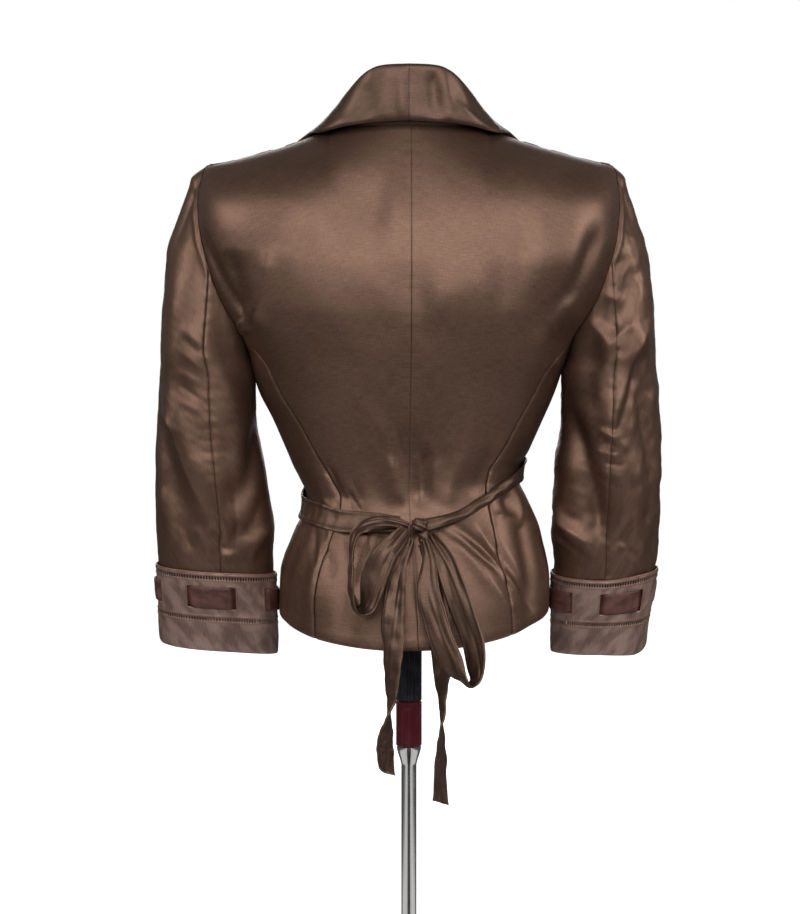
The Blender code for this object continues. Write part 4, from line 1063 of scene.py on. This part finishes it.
def collarSeam(side, share):
    sign = sideSign[side]
    neck = jacket["neck"]
    behind = onBody(sign * through(collar["seamDegrees"], share), np.full_like(share, neck), folded=False)
    z = np.minimum(neck, through(collar["seamZ"], share))
    x = necklineX(z) + mix(jacket["neckHalf"] - necklineX(neck), -collar["clear"], smooth(pastBack(share)))
    ahead = onBody(sign * degreesAt(x, z, side), z, folded=False)
    ahead[..., 1] += overlapLift(x, side)
    return np.where((pastBack(share) <= 0)[..., None], behind, ahead)


def collarHalf(side):
    mirror = np.array((sideSign[side], 1, 1))
    height, size, seed = collar["crumple"]
    fallFrom, fallEase = collar["fall"]
    restFrom, restEase = collar["restFrom"]
    frontFrom, frontEase = collar["frontFrom"]

    def layCollar(u, v):
        share = v[:, 0]
        roll, edge = (throughPoints(collar[line], share) * mirror for line in ("roll", "edge"))
        seam = collarSeam(side, share)
        rise = unit(roll - seam)
        seam = seam + rise * mix(collar["seamLap"], collar["seamLift"], smooth(pastBack(share)))[:, None]
        out = edge - roll
        out = unit(out - rise * np.sum(out * rise, axis=-1, keepdims=True))
        stand = np.linalg.norm(roll - seam, axis=-1, keepdims=True)
        half = np.minimum(collar["rollHalf"], collar["rollShare"] * stand)
        lines = {"seam": seam, "under": roll - rise * half, "low": roll - rise * collar["rollDrop"],
                 "roll": roll, "edge": edge}
        section = [mix(lines[first], lines[last], between) + out * half * wide
                   for first, last, between, wide in collar["section"]]
        point = np.stack([through(section, column) for column in u[0]], axis=1)
        x, y, z = (point[..., axis] for axis in range(3))
        fall = smooth((u - fallFrom) / fallEase)
        lift = creaseHeight(collar["creases"], x, z) * fall * smooth(-y / jacket["creaseEase"])
        lift = lift + height * crumple(x + y, z, size, seed) * fall
        lift = lift + sewnLine("collar", np.abs(x), z) * smooth(1 - v * collar["centreFade"])
        lift = lift + rolledEdge(collar["turn"], np.linalg.norm(point - point[:, -1:], axis=-1)) * fall
        facing = unit(out * np.array((1, 1, collar["level"])))
        point = point + facing[:, None, :] * lift[..., None]
        rest = frontY(np.abs(point[..., 0]), point[..., 2], side) + collar["rest"] + collar["follow"] * lift
        ahead = smooth((u - restFrom) / restEase) * smooth((point[..., 1] - frontFrom) / frontEase)
        point[..., 1] += np.maximum(0, rest - point[..., 1]) * ahead
        return point

    return layCollar


collarAcross = np.concatenate((
    np.linspace(0, 0.3, 9), np.linspace(0.33, 0.62, 16), np.linspace(0.65, 0.96, 14),
    (0.972, 0.983, 0.992, 1.0),
))
collarDown = np.concatenate(((0, 0.003, 0.006, 0.01), np.linspace(0.016, 1, 150)))
for side in sideSign:
    made = clothSheet(f"collar_cloth_{side}", collarAcross, collarDown, collarHalf(side), side == "left",
                      sewn=collar["sewn"], turned=True)
    thicken(made, collar["cloth"])
    place(made, shadedCollarSatin, "satin", f"collar_{side}")
print("collar turned")


# cuffs: a band with two rows of small holes, slots and a ribbon woven through them

cuff = {
    "left": {
        "turn": (0, 90, 180, 270, 360), "top": (483, 477, 473, 479, 483), "low": (406, 399, 393, 401, 406),
        "shift": -0.012, "cut": (0.325, 0.082), "area": 0.0235, "ribbonCut": (0.325, 0.021),
    },
    "right": {
        "turn": (0, 50, 95, 180, 270, 360), "top": (479, 474, 469, 474, 478, 479),
        "low": (402, 394, 395, 395, 400, 402),
        "shift": -0.06, "cut": (0.298, 0.082), "area": 0.021, "ribbonCut": (0.294, 0.021),
    },
    "height": 78, "clear": 3.2, "cloth": 1.2,
    "repeats": 4, "shown": 0.53, "slotWidth": 6, "slotHeight": 21, "slotBelow": 25,
    "start": 0.625,  # where the band's own seam lies, as a share of the way round
    "columns": 460, "holeStep": 4, "holeColumns": 2,
    # poreShade: how much painted shade each column at a row of holes gets, most in a hole's middle, none
    # between holes
    "holeRows": ((4.0, 7.0), (44.5, 47.5)), "poreShade": (0.5, 1.0, 0.5, 0.0),
    "ridge": (2.7, 0.8), "slotRidge": (0.7, 0.8), "topRidge": (0, 1.0),  # place and reach of the raised trim
    "trimLift": 0.55,
    "topTuck": (0.6, 0.9), "lowTuck": (0.9, 1.2),  # depth and reach
    "folds": (  # height, lean, share down, slant, size, seed
        (0.6, 0.45, 0.3, 0, 34, 0.9),
        (0.16, -0.7, 1, 0.5, 13, 2.3),
    ),
}
ribbon = {
    "height": 21, "out": 1.8, "in": -2.5, "cloth": 1.0, "columns": 240, "rows": 13,
    "ends": (0.005, 0.995), "ease": 2.6,
    "bulge": (0.8, 1.57, 0.25),  # height, a quarter turn in radians, how far it is let in
    "crumple": (0.25, 16, 0.4),  # height, size, seed
    "edge": (0.5, 6),  # depth, power
    "wave": (0.1, 31),  # sway, waves
}


def onCuff(side, turn, below, out):
    edges = cuff[side]
    turn = turn % 360
    top, low = along(edges["turn"], edges["top"], turn), along(edges["turn"], edges["low"], turn)
    z = mix(top, low, below / cuff["height"])
    wrapped = (turn + 180) % 360 - 180
    return onSleeve(side, wrapped, z, cuff["clear"] + out, creased=False)


def cuffTurns(side):  # the turn at each share of the way round, even along the cloth
    turns = np.arange(361.0)
    points = onCuff(side, turns, np.full(361, float(cuff["slotBelow"])), 0.0)
    points[-1] = points[0]
    lengths = np.concatenate(((0,), np.cumsum(np.linalg.norm(np.diff(points, axis=0), axis=1))))
    return lengths / lengths[-1], turns, lengths[-1]


def fromShown(side, share, around):  # distance from the middle of the nearest shown stretch of ribbon
    step = 1 / cuff["repeats"]
    return np.abs((share - cuff[side]["shift"] + step / 2) % step - step / 2) * around


def slotPlace(around):
    return cuff["shown"] / cuff["repeats"] / 2 * around


def cuffMarks(side, across, belows, around):  # holes, raised trim, and painted shade at the pores
    halfWide, halfHigh = cuff["slotWidth"] / 2, cuff["slotHeight"] / 2
    middleAcross, middleBelow = ((line[1:] + line[:-1]) / 2 for line in (across, belows))
    inSlot = np.abs(fromShown(side, middleAcross, around) - slotPlace(around)) < halfWide
    holes = (np.abs(middleBelow - cuff["slotBelow"]) < halfHigh)[:, None] & inSlot
    number = np.arange(len(across)) % cuff["holeStep"]
    u, below = np.meshgrid(across, belows)
    sideways = np.abs(fromShown(side, u, around) - slotPlace(around)) - halfWide
    updown = np.abs(below - cuff["slotBelow"]) - halfHigh
    rim = np.maximum(np.maximum(sideways, updown), 0)
    ridges = [(rim, "slotRidge"), (below, "topRidge")]
    inRow = np.zeros(u.shape)
    for low, high in cuff["holeRows"]:
        row = (middleBelow > low) & (middleBelow < high)
        holes |= row[:, None] & (number[:-1] < cuff["holeColumns"])
        ridges.append((np.abs(below - (low + high) / 2), "ridge"))
        inRow += (below >= low) & (below <= high)
    trim = np.zeros(u.shape)
    for distance, ridge in ridges:
        at, reach = cuff[ridge]
        trim = np.maximum(trim, bell(distance - at, reach))
    return holes, trim, inRow * np.array(cuff["poreShade"])[number]


cuffBelows = np.concatenate((
    (0, 0.7, 1.4, 2.2, 3.1, 4.0, 5.5, 7.0, 7.9, 8.8, 10, 11.5), np.arange(13, 37.1, 1.5),
    (38.5, 40, 41.5, 42.7, 43.6, 44.5, 46, 47.5, 48.4, 49.3), np.arange(51, 76, 2.4),
    (76.6, 77.3, 78),
))


def cuffBand(side):
    sign = sideSign[side]
    shares, turns, around = cuffTurns(side)
    columns = cuff["columns"]
    across = cuff["start"] + np.arange(columns + 1) / columns
    holes, trim, paintedPoreShade = cuffMarks(side, across, cuffBelows, around)

    def layCuff(u, below):
        run = u * around
        out = cuff["trimLift"] * trim
        for height, lean, share, slant, size, seed in cuff["folds"]:
            out = out + height * crumple(run + lean * below, share * below + slant * run, size, seed + sign)
        for edge, (depth, reach) in ((0, cuff["topTuck"]), (cuff["height"], cuff["lowTuck"])):
            out = out - depth * bell(below - edge, reach)
        out = out + sewnLine("cuff", np.minimum(u - across[0], across[-1] - u) * around, run)
        return onCuff(side, np.interp(u % 1, shares, turns), below, out)

    made = clothSheet(f"cuff_band_{side}", across, cuffBelows, layCuff, side == "left", holes, trim, paintedPoreShade)
    thicken(made, cuff["cloth"])
    place(made, cuffSatin, "cuff_satin", f"cuff_{side}_back", f"cuff_{side}_front")


def cuffRibbon(side):
    shares, turns, around = cuffTurns(side)
    slotAt = slotPlace(around)
    half, ease = ribbon["height"] / 2, ribbon["ease"]
    bulge, quarter, level = ribbon["bulge"]
    height, size, seed = ribbon["crumple"]
    depth, power = ribbon["edge"]
    sway, waves = ribbon["wave"]

    def layRibbon(u, v):
        fromMiddle = fromShown(side, u, around)
        shown = smooth((slotAt + ease - fromMiddle) / (2 * ease))
        out = mix(ribbon["in"], ribbon["out"], shown)
        out = out + shown * (bulge * np.sin((fromMiddle / slotAt + 1) * quarter) - level)
        out = out + height * crumple(u * around, v, size, seed + sideSign[side])
        out = out - depth * np.abs(v / half) ** power
        below = cuff["slotBelow"] + v + sway * np.sin(u * waves)
        return onCuff(side, np.interp(u % 1, shares, turns), below, out)

    across = cuff["start"] + np.linspace(*ribbon["ends"], ribbon["columns"])
    downs = np.linspace(-half, half, ribbon["rows"])
    made = clothSheet(f"cuff_ribbon_cloth_{side}", across, downs, layRibbon, side == "left")
    thicken(made, ribbon["cloth"])
    place(made, leather, "leather", f"cuff_ribbon_{side}")


for side in sideSign:
    cuffBand(side)
    cuffRibbon(side)
print("cuffs laced")


# tie belt and bow

belt = {
    "right": {
        "degrees": (5, 18, 34, 56, 90, 130, 179.6), "z": (529, 536, 549, 563, 574, 577, 573),
        "half": (6, 5, 5, 6, 9, 11, 11), "off": (9, 6, 4.5, 4.5, 4.5, 4.5, 8.5),
        "cut": (0.024, 0.34), "area": 0.0062,
    },
    "left": {
        "degrees": (3, 14, 30, 55, 90, 130, 179.6), "z": (530, 531, 531, 536, 540, 557, 573),
        "half": (7, 9, 10, 10.5, 10.5, 11, 11), "off": (9, 6, 4.5, 4.5, 4.5, 4.5, 8.5),
        "cut": (0.024, 0.331), "area": 0.0071,
    },
    "cloth": 1.4, "rounded": 0.45, "columns": 19, "rows": 190, "sewn": {"hems": (0.6, 0.8)},
    "narrow": (9, 4), "roll": 3.2,  # where the narrow cloth begins to roll, and how far it stands out
    "hem": (0.5, 0.12),  # height, reach
    "crumple": (0.5, 1.9, 8, 24, 1.1),  # height, along, across, size, seed
    "twist": (0.4, 2.3, 3),  # height, degrees a radian, lean
}


def beltHalf(side):
    sign = sideSign[side]
    shape = belt[side]
    widest, ease = belt["narrow"]
    hemHeight, hemReach = belt["hem"]
    height, run, wide, size, seed = belt["crumple"]
    twist, turns, lean = belt["twist"]

    def layBelt(u, degrees):
        z, half, off = (along(shape["degrees"], shape[column], degrees) for column in ("z", "half", "off"))
        rolled = smooth((widest - half) / ease)
        off = off + rolled * belt["roll"] * (1 - u * u) + hemHeight * bell(np.abs(u) - hemLine, hemReach)
        off = off + height * crumple(degrees * run, u * wide, size, seed + sign)
        off = off + twist * np.sin(degrees / turns + lean * u) * rolled
        return onBody(sign * degrees, z + u * half, off, folded=False)

    across = np.linspace(-1, 1, belt["columns"])
    downs = np.linspace(shape["degrees"][0], shape["degrees"][-1], belt["rows"])
    made = clothSheet(f"belt_cloth_{side}", across, downs, layBelt, side == "right", sewn=belt["sewn"])
    thicken(made, belt["cloth"], rounded=belt["rounded"])
    place(made, shadedTieSatin, "satin", f"belt_{side}")


bow = {  # x, y, z, width and roll at stations along each strip
    "bow_loop_left": (
        (-1, -104, 527, 9, 5), (-17, -106, 532, 10, 15), (-38, -109, 531, 13, 40), (-51, -114, 521, 17, 72),
        (-54, -119, 499, 20, 83), (-55, -126, 474, 22, 86), (-49, -132, 452, 23, 98),
        (-39, -134, 457, 24, 124), (-32, -137, 484, 24, 158), (-20, -136, 509, 20, 172),
        (-4, -118, 526, 11, 176),
    ),
    "bow_loop_right": (
        (13, -112, 518, 8, 0), (18, -124, 499, 12, 4), (18, -133, 472, 19, 8), (25, -139, 441, 22, 14),
        (37, -144, 409, 24, 30), (48, -148, 390, 24, 66), (57, -149, 385, 24, 92), (63, -147, 395, 24, 122),
        (59, -142, 424, 23, 150), (47, -137, 460, 22, 164), (35, -129, 494, 18, 172), (20, -110, 520, 9, 178),
    ),
    "tie_end_left": (
        (1, -113, 516, 8, 0), (-6, -122, 497, 12, 10), (-12, -129, 472, 19, 14), (-15, -135, 443, 22, 6),
        (-16, -139, 413, 24, 40), (-17, -140, 383, 24, 62), (-19, -140, 360, 24, 90),
        (-22, -140, 340, 24, 120), (-23, -139, 320, 24, 124), (-22, -139, 301, 24, 122),
    ),
    "tie_end_right": (
        (12, -111, 513, 8, 0), (20, -119, 495, 11, 4), (27, -125, 468, 15, 6), (30, -131, 437, 19, 10),
        (30, -131, 410, 22, 28), (29, -124.5, 381, 23, 62), (30, -127, 359, 24, 78), (30, -131, 345, 24, 90),
        (29, -131, 326, 24, 106), (28, -131, 300, 24, 118), (29, -131, 271, 24, 128),
    ),
}
tie = {
    "cloth": 1.4, "rounded": 0.4, "columns": 25, "rows": 150, "sewn": {"hems": (0.6, 0.8)}, "step": 0.01,
    "gather": (0.9, 7.5, 0.6, 0.14),  # at the knot: height, waves across, phase, how far along
    "hem": (0.9, 0.9, 0.08),  # height, place, reach
    "pleat": (0.7, 2.6, 2.5, 6, 8),  # height, waves across, sway, turns, how soon it starts
    "crease": (0.7, 0.13, 0.35, 4.5, 2.2, 6),  # depth, reach, sway, turns, phase, how soon it starts
    "curl": (0.9, 0.4, 13, 1),  # height, level, turns, phase
    "crumple": (0.7, 170, 12, 17, 0.6),  # height, along, across, size, seed
    "uneven": (0.9, 160, 40, 31, 1.3, 8),  # the same for the edges, and the half width it needs
    "slant": {"tie_end_left": 5.0, "tie_end_right": 4.3}, "slantFrom": 0.9,
    "cut": {
        "bow_loop_left": ((0.026, 0.248), 0.0046), "bow_loop_right": ((0.026, 0.32), 0.0065),
        "tie_end_left": ((0.026, 0.231), 0.0048), "tie_end_right": ((0.026, 0.254), 0.0052),
    },
}


def tieLift(name, u, v):  # gathers at the knot, hems, one pleat, one crease, curled edges
    seed = len(name)
    height, waves, phase, reach = tie["gather"]
    pinch = np.exp(-v / reach)
    if name.startswith("bow_loop"):
        pinch = pinch + np.exp(-(1 - v) / reach)
    lift = height * pinch * np.sin(u * waves + phase)
    height, at, reach = tie["hem"]
    lift = lift + height * bell(np.abs(u) - at, reach)
    height, waves, sway, turns, start = tie["pleat"]
    lift = lift + height * np.sin(waves * u + sway * np.sin(turns * v + seed)) * smooth(v * start)
    depth, reach, sway, turns, phase, start = tie["crease"]
    lift = lift - depth * bell(u - sway * np.sin(turns * v + phase * seed), reach) * smooth(v * start)
    height, level, turns, phase = tie["curl"]
    lift = lift + height * (u * u - level) * np.sin(v * turns + phase)
    height, run, wide, size, phase = tie["crumple"]
    return lift + height * crumple(v * run, u * wide, size, phase + seed)


def tieStrip(name):
    middles = [row[:3] for row in bow[name]]
    widths, rolls = ([row[column] for row in bow[name]] for column in (3, 4))
    step = tie["step"]
    height, run, wide, size, phase, narrow = tie["uneven"]

    def layTie(u, v):
        before, after = (throughPoints(middles, np.clip(v + ahead, 0, 1)) for ahead in (-step, step))
        tangent = after - before
        flat = unit(np.stack((-tangent[..., 2], np.zeros_like(v), tangent[..., 0]), axis=-1))
        roll = np.radians(through(rolls, v))[..., None]
        across = flat * np.cos(roll) + np.array((0, -1, 0)) * np.sin(roll)
        facing = unit(np.cross(across, unit(tangent)))
        half = through(widths, v) / 2
        uneven = crumple(v * run, wide * np.sign(u), size, phase + len(name)) * smooth(half / narrow)
        aside = u * half + height * np.abs(u) * uneven
        lift = tieLift(name, u, v)
        point = throughPoints(middles, v) + across * aside[..., None] + facing * lift[..., None]
        if name in tie["slant"]:
            start = tie["slantFrom"]
            point[..., 2] += tie["slant"][name] * u * smooth((v - start) / (1 - start))
        return point

    across, downs = np.linspace(-1, 1, tie["columns"]), np.linspace(0, 1, tie["rows"])
    made = clothSheet(f"{name}_cloth", across, downs, layTie, sewn=tie["sewn"])
    thicken(made, tie["cloth"], 0.0, tie["rounded"])
    place(made, shadedTieSatin, "satin", name)


knot = {  # the wrapped band and the lump of cloth under it: place, size, folds
    "band": ((9.6, -109, 530), (15.5, 16, 13), 9.0),
    "lump": ((13.6, -109, 518.5), (10, 13, 14), 6.0),
    "square": 0.72, "slant": 0.55, "rings": (48, 32),
    "broad": (0.06, 1.1), "fine": (0.035, 2.3),  # height and phase of a fold, height and number of the finer
}


def tieKnot():
    mesh = bmesh.new()
    layer = mesh.loops.layers.uv.new("cloth")
    columns, rows = knot["rings"]
    broad, phase = knot["broad"]
    fine, times = knot["fine"]
    for part in ("band", "lump"):
        at, size, folds = knot[part]
        ball = bmesh.ops.create_uvsphere(mesh, u_segments=columns, v_segments=rows, radius=1.0)
        for vert in ball["verts"]:
            x, y, z = (math.copysign(abs(value) ** knot["square"], value) for value in vert.co)
            slant = folds * (z + knot["slant"] * x)
            fold = 1 + broad * math.sin(slant + phase) + fine * math.sin(times * slant + x)
            for axis, value in enumerate((x, y, z)):
                vert.co[axis] = (at[axis] + value * fold * size[axis] / 2) * mm
    for face in mesh.faces:
        for loop in face.loops:
            loop[layer].uv = (loop.vert.co.x + loop.vert.co.y, loop.vert.co.z)
    place(asObject(mesh, "bow_knot_cloth"), shadedTieSatin, "satin", "bow_knot")


for side in sideSign:
    beltHalf(side)
for name in bow:
    tieStrip(name)
tieKnot()
print("belt tied")


# stand: turned pieces from the post under the form to the base, radius and height along each profile

stand = {
    "post_black": (
        blackLacquer, "black_lacquer",
        ((0, 347.5), (11.9, 347.5), (12.6, 348.2), (12.6, 429.6), (0, 429.6)),
    ),
    "post_red": (
        redLacquer, "red_lacquer",
        ((0, 303), (11.9, 303), (12.6, 303.7), (12.6, 346.5), (12, 347.1), (0, 347.1)),
    ),
    "pole": (
        chrome, "chrome",
        ((0, 26.4), (7.5, 26.4), (7.5, 284), (7.9, 286), (9.0, 290), (10.6, 295), (11.7, 299),
         (12.0, 301), (12.0, 302.2), (11.6, 302.6), (0, 302.6)),
    ),
    "socket": (chrome, "chrome", ((0, 9.4), (15, 9.4), (15, 24.6), (14.6, 25.6), (14, 26), (0, 26))),
    "base": (
        chrome, "chrome",
        ((0, 0), (162, 0), (164.2, 0.8), (165, 2.6), (165, 5.6), (164.4, 7.4), (162.6, 8.6),
         (160, 9), (0, 9)),
    ),
}
turning = {"steps": 72, "sharp": math.radians(35), "merge": 1e-6}


def turnedPiece(node):
    finish, slotName, profile = stand[node]
    mesh = bmesh.new()
    verts = [mesh.verts.new((radius * mm, 0, z * mm)) for radius, z in profile]
    edges = [mesh.edges.new(pair) for pair in zip(verts, verts[1:])]
    bmesh.ops.spin(mesh, geom=verts + edges, axis=(0, 0, 1), cent=(0, 0, 0), angle=2 * math.pi,
                   steps=turning["steps"], use_merge=True)
    bmesh.ops.remove_doubles(mesh, verts=mesh.verts, dist=turning["merge"])
    bmesh.ops.recalc_face_normals(mesh, faces=mesh.faces)
    made = asObject(mesh, f"{node}_turned")
    made.data.set_sharp_from_angle(angle=turning["sharp"])
    place(made, finish, slotName, node)


for node in stand:
    turnedPiece(node)
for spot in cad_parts["form_torso"].material_slots:
    spot.material = formCloth
print("stand turned")


# floor, lights and camera

studio = {
    "camera": (-0.0087, -3.0, 0.82),
    "aim": (-0.0087, 0.0, 0.5853),
    "lens": 122.2,
    "sensor": 36,
    "room": (0.02, 0.14),  # how bright the room is behind the camera, and behind the jacket
    "roomEase": (-0.4, 0.6),
    "lights": (  # name, place, aim, size, power
        ("key", (0.1, -2.6, 1.65), (0, -0.1, 0.7), (3.2, 1.4), 44),
        ("top", (0, -1.6, 2.5), (0, 0, 0.8), (2.4, 0.8), 8),
        ("left", (-2.3, -1.0, 1.9), (0, 0, 0.55), (1.0, 1.0), 20),
        ("right", (2.4, -0.9, 1.7), (0, 0, 0.6), (1.0, 1.0), 23),
        ("front", (0, 2.8, 1.2), (0, 0, 0.65), (2.0, 1.2), 28),
    ),
}
floorLook = {
    "radius": 7.0, "segments": 96, "haze": 1.5,
    "seen": ((0.85, 0.85, 0.85, 1), (0.88, 0.88, 0.88, 1)),  # what the camera sees
    "glow": ((0.45, 0.45, 0.45, 1), (1, 1, 1, 1)),  # near the stand, and away from it
    "dim": ((0.015, 0.015, 0.015, 1), (0.1, 0.1, 0.1, 1)),  # what the satin and chrome mirror
    "lit": ((0, 0, 0, 1), (0.6, 0.6, 0.6, 1)),
    # patches of the mirrored floor: how far an edge leans with y, and the metres over which it fades
    "strip": (0.1, -0.05, 0.02), "stripBack": (-0.5, -0.2), "sides": (0.85, -0.1, 0.2),
    "beside": (0.3, 0.0, 0.08), "besideOut": (0.5, 0.8), "besideBack": (0.1, 0.3), "near": (0.16, 0.36),
}


def aimed(made, spot, aim):
    across, ahead, up = (end - start for start, end in zip(spot, aim))
    made.location = spot
    made.rotation_euler = (math.atan2(math.hypot(across, ahead), -up), 0, math.atan2(-across, ahead))
    bpy.context.scene.collection.objects.link(made)


def floorFinish():
    made, wire, shader = newFinish("floorPaint", Roughness=0.9, Emission_Strength=0.95)
    spot = objectSpace(wire)
    across, ahead = spot.axis(0), spot.axis(1)
    away = wire.math("ABSOLUTE", across)
    seen = wire.node("ShaderNodeLightPath")

    def patch(name, *ends):
        lean, low, high = floorLook[name]
        return (away + lean * ahead).spread(low, high, *ends)

    strip = patch("strip", 1.0, 0.0) * ahead.spread(*floorLook["stripBack"], 1.0, 0.0)
    mirrored = wire.math("MAXIMUM", patch("sides"), strip).blend(*floorLook["dim"])
    pale = spot.noise(floorLook["haze"], detail=2.0).blend(*floorLook["seen"])
    seen.blend(mirrored, pale).into(shader, "Base Color")
    beside = patch("beside") * away.spread(*floorLook["besideOut"], 1.0, 0.0)
    beside = beside * ahead.spread(*floorLook["besideBack"], 1.0, 0.0)
    near = (across * across + ahead * ahead).spread(*floorLook["near"])
    seen.blend(beside.blend(*floorLook["lit"]), near.blend(*floorLook["glow"])).into(shader, "Emission Color")
    return made


def roomLight():
    made = bpy.data.worlds.new("studio")
    made.use_nodes = True
    glow = made.node_tree.nodes["Background"]
    glow.inputs["Color"].default_value = (1, 1, 1, 1)
    wire = Wire(made.node_tree)
    room = wire.node("ShaderNodeTexCoord").axis(1).spread(*studio["roomEase"], *studio["room"])
    seen = wire.node("ShaderNodeLightPath")
    (seen + (1 - seen) * room).into(glow, "Strength")
    bpy.context.scene.world = made


mesh = bmesh.new()
bmesh.ops.create_circle(mesh, cap_ends=True, segments=floorLook["segments"], radius=floorLook["radius"])
floor = asObject(mesh, "floor")
floor.data.materials.append(floorFinish())
for name, spot, aim, size, power in studio["lights"]:
    lamp = bpy.data.lights.new(name, "AREA")
    lamp.shape = "RECTANGLE"
    lamp.size, lamp.size_y = size
    lamp.energy = power
    aimed(bpy.data.objects.new(name, lamp), spot, aim)
roomLight()
bpy.context.scene.view_settings.view_transform = "Standard"
view = bpy.data.cameras.new("view")
view.lens = studio["lens"]
view.sensor_width = studio["sensor"]
camera = bpy.data.objects.new("view", view)
aimed(camera, studio["camera"], studio["aim"])
bpy.context.scene.camera = camera
print("studio lit")
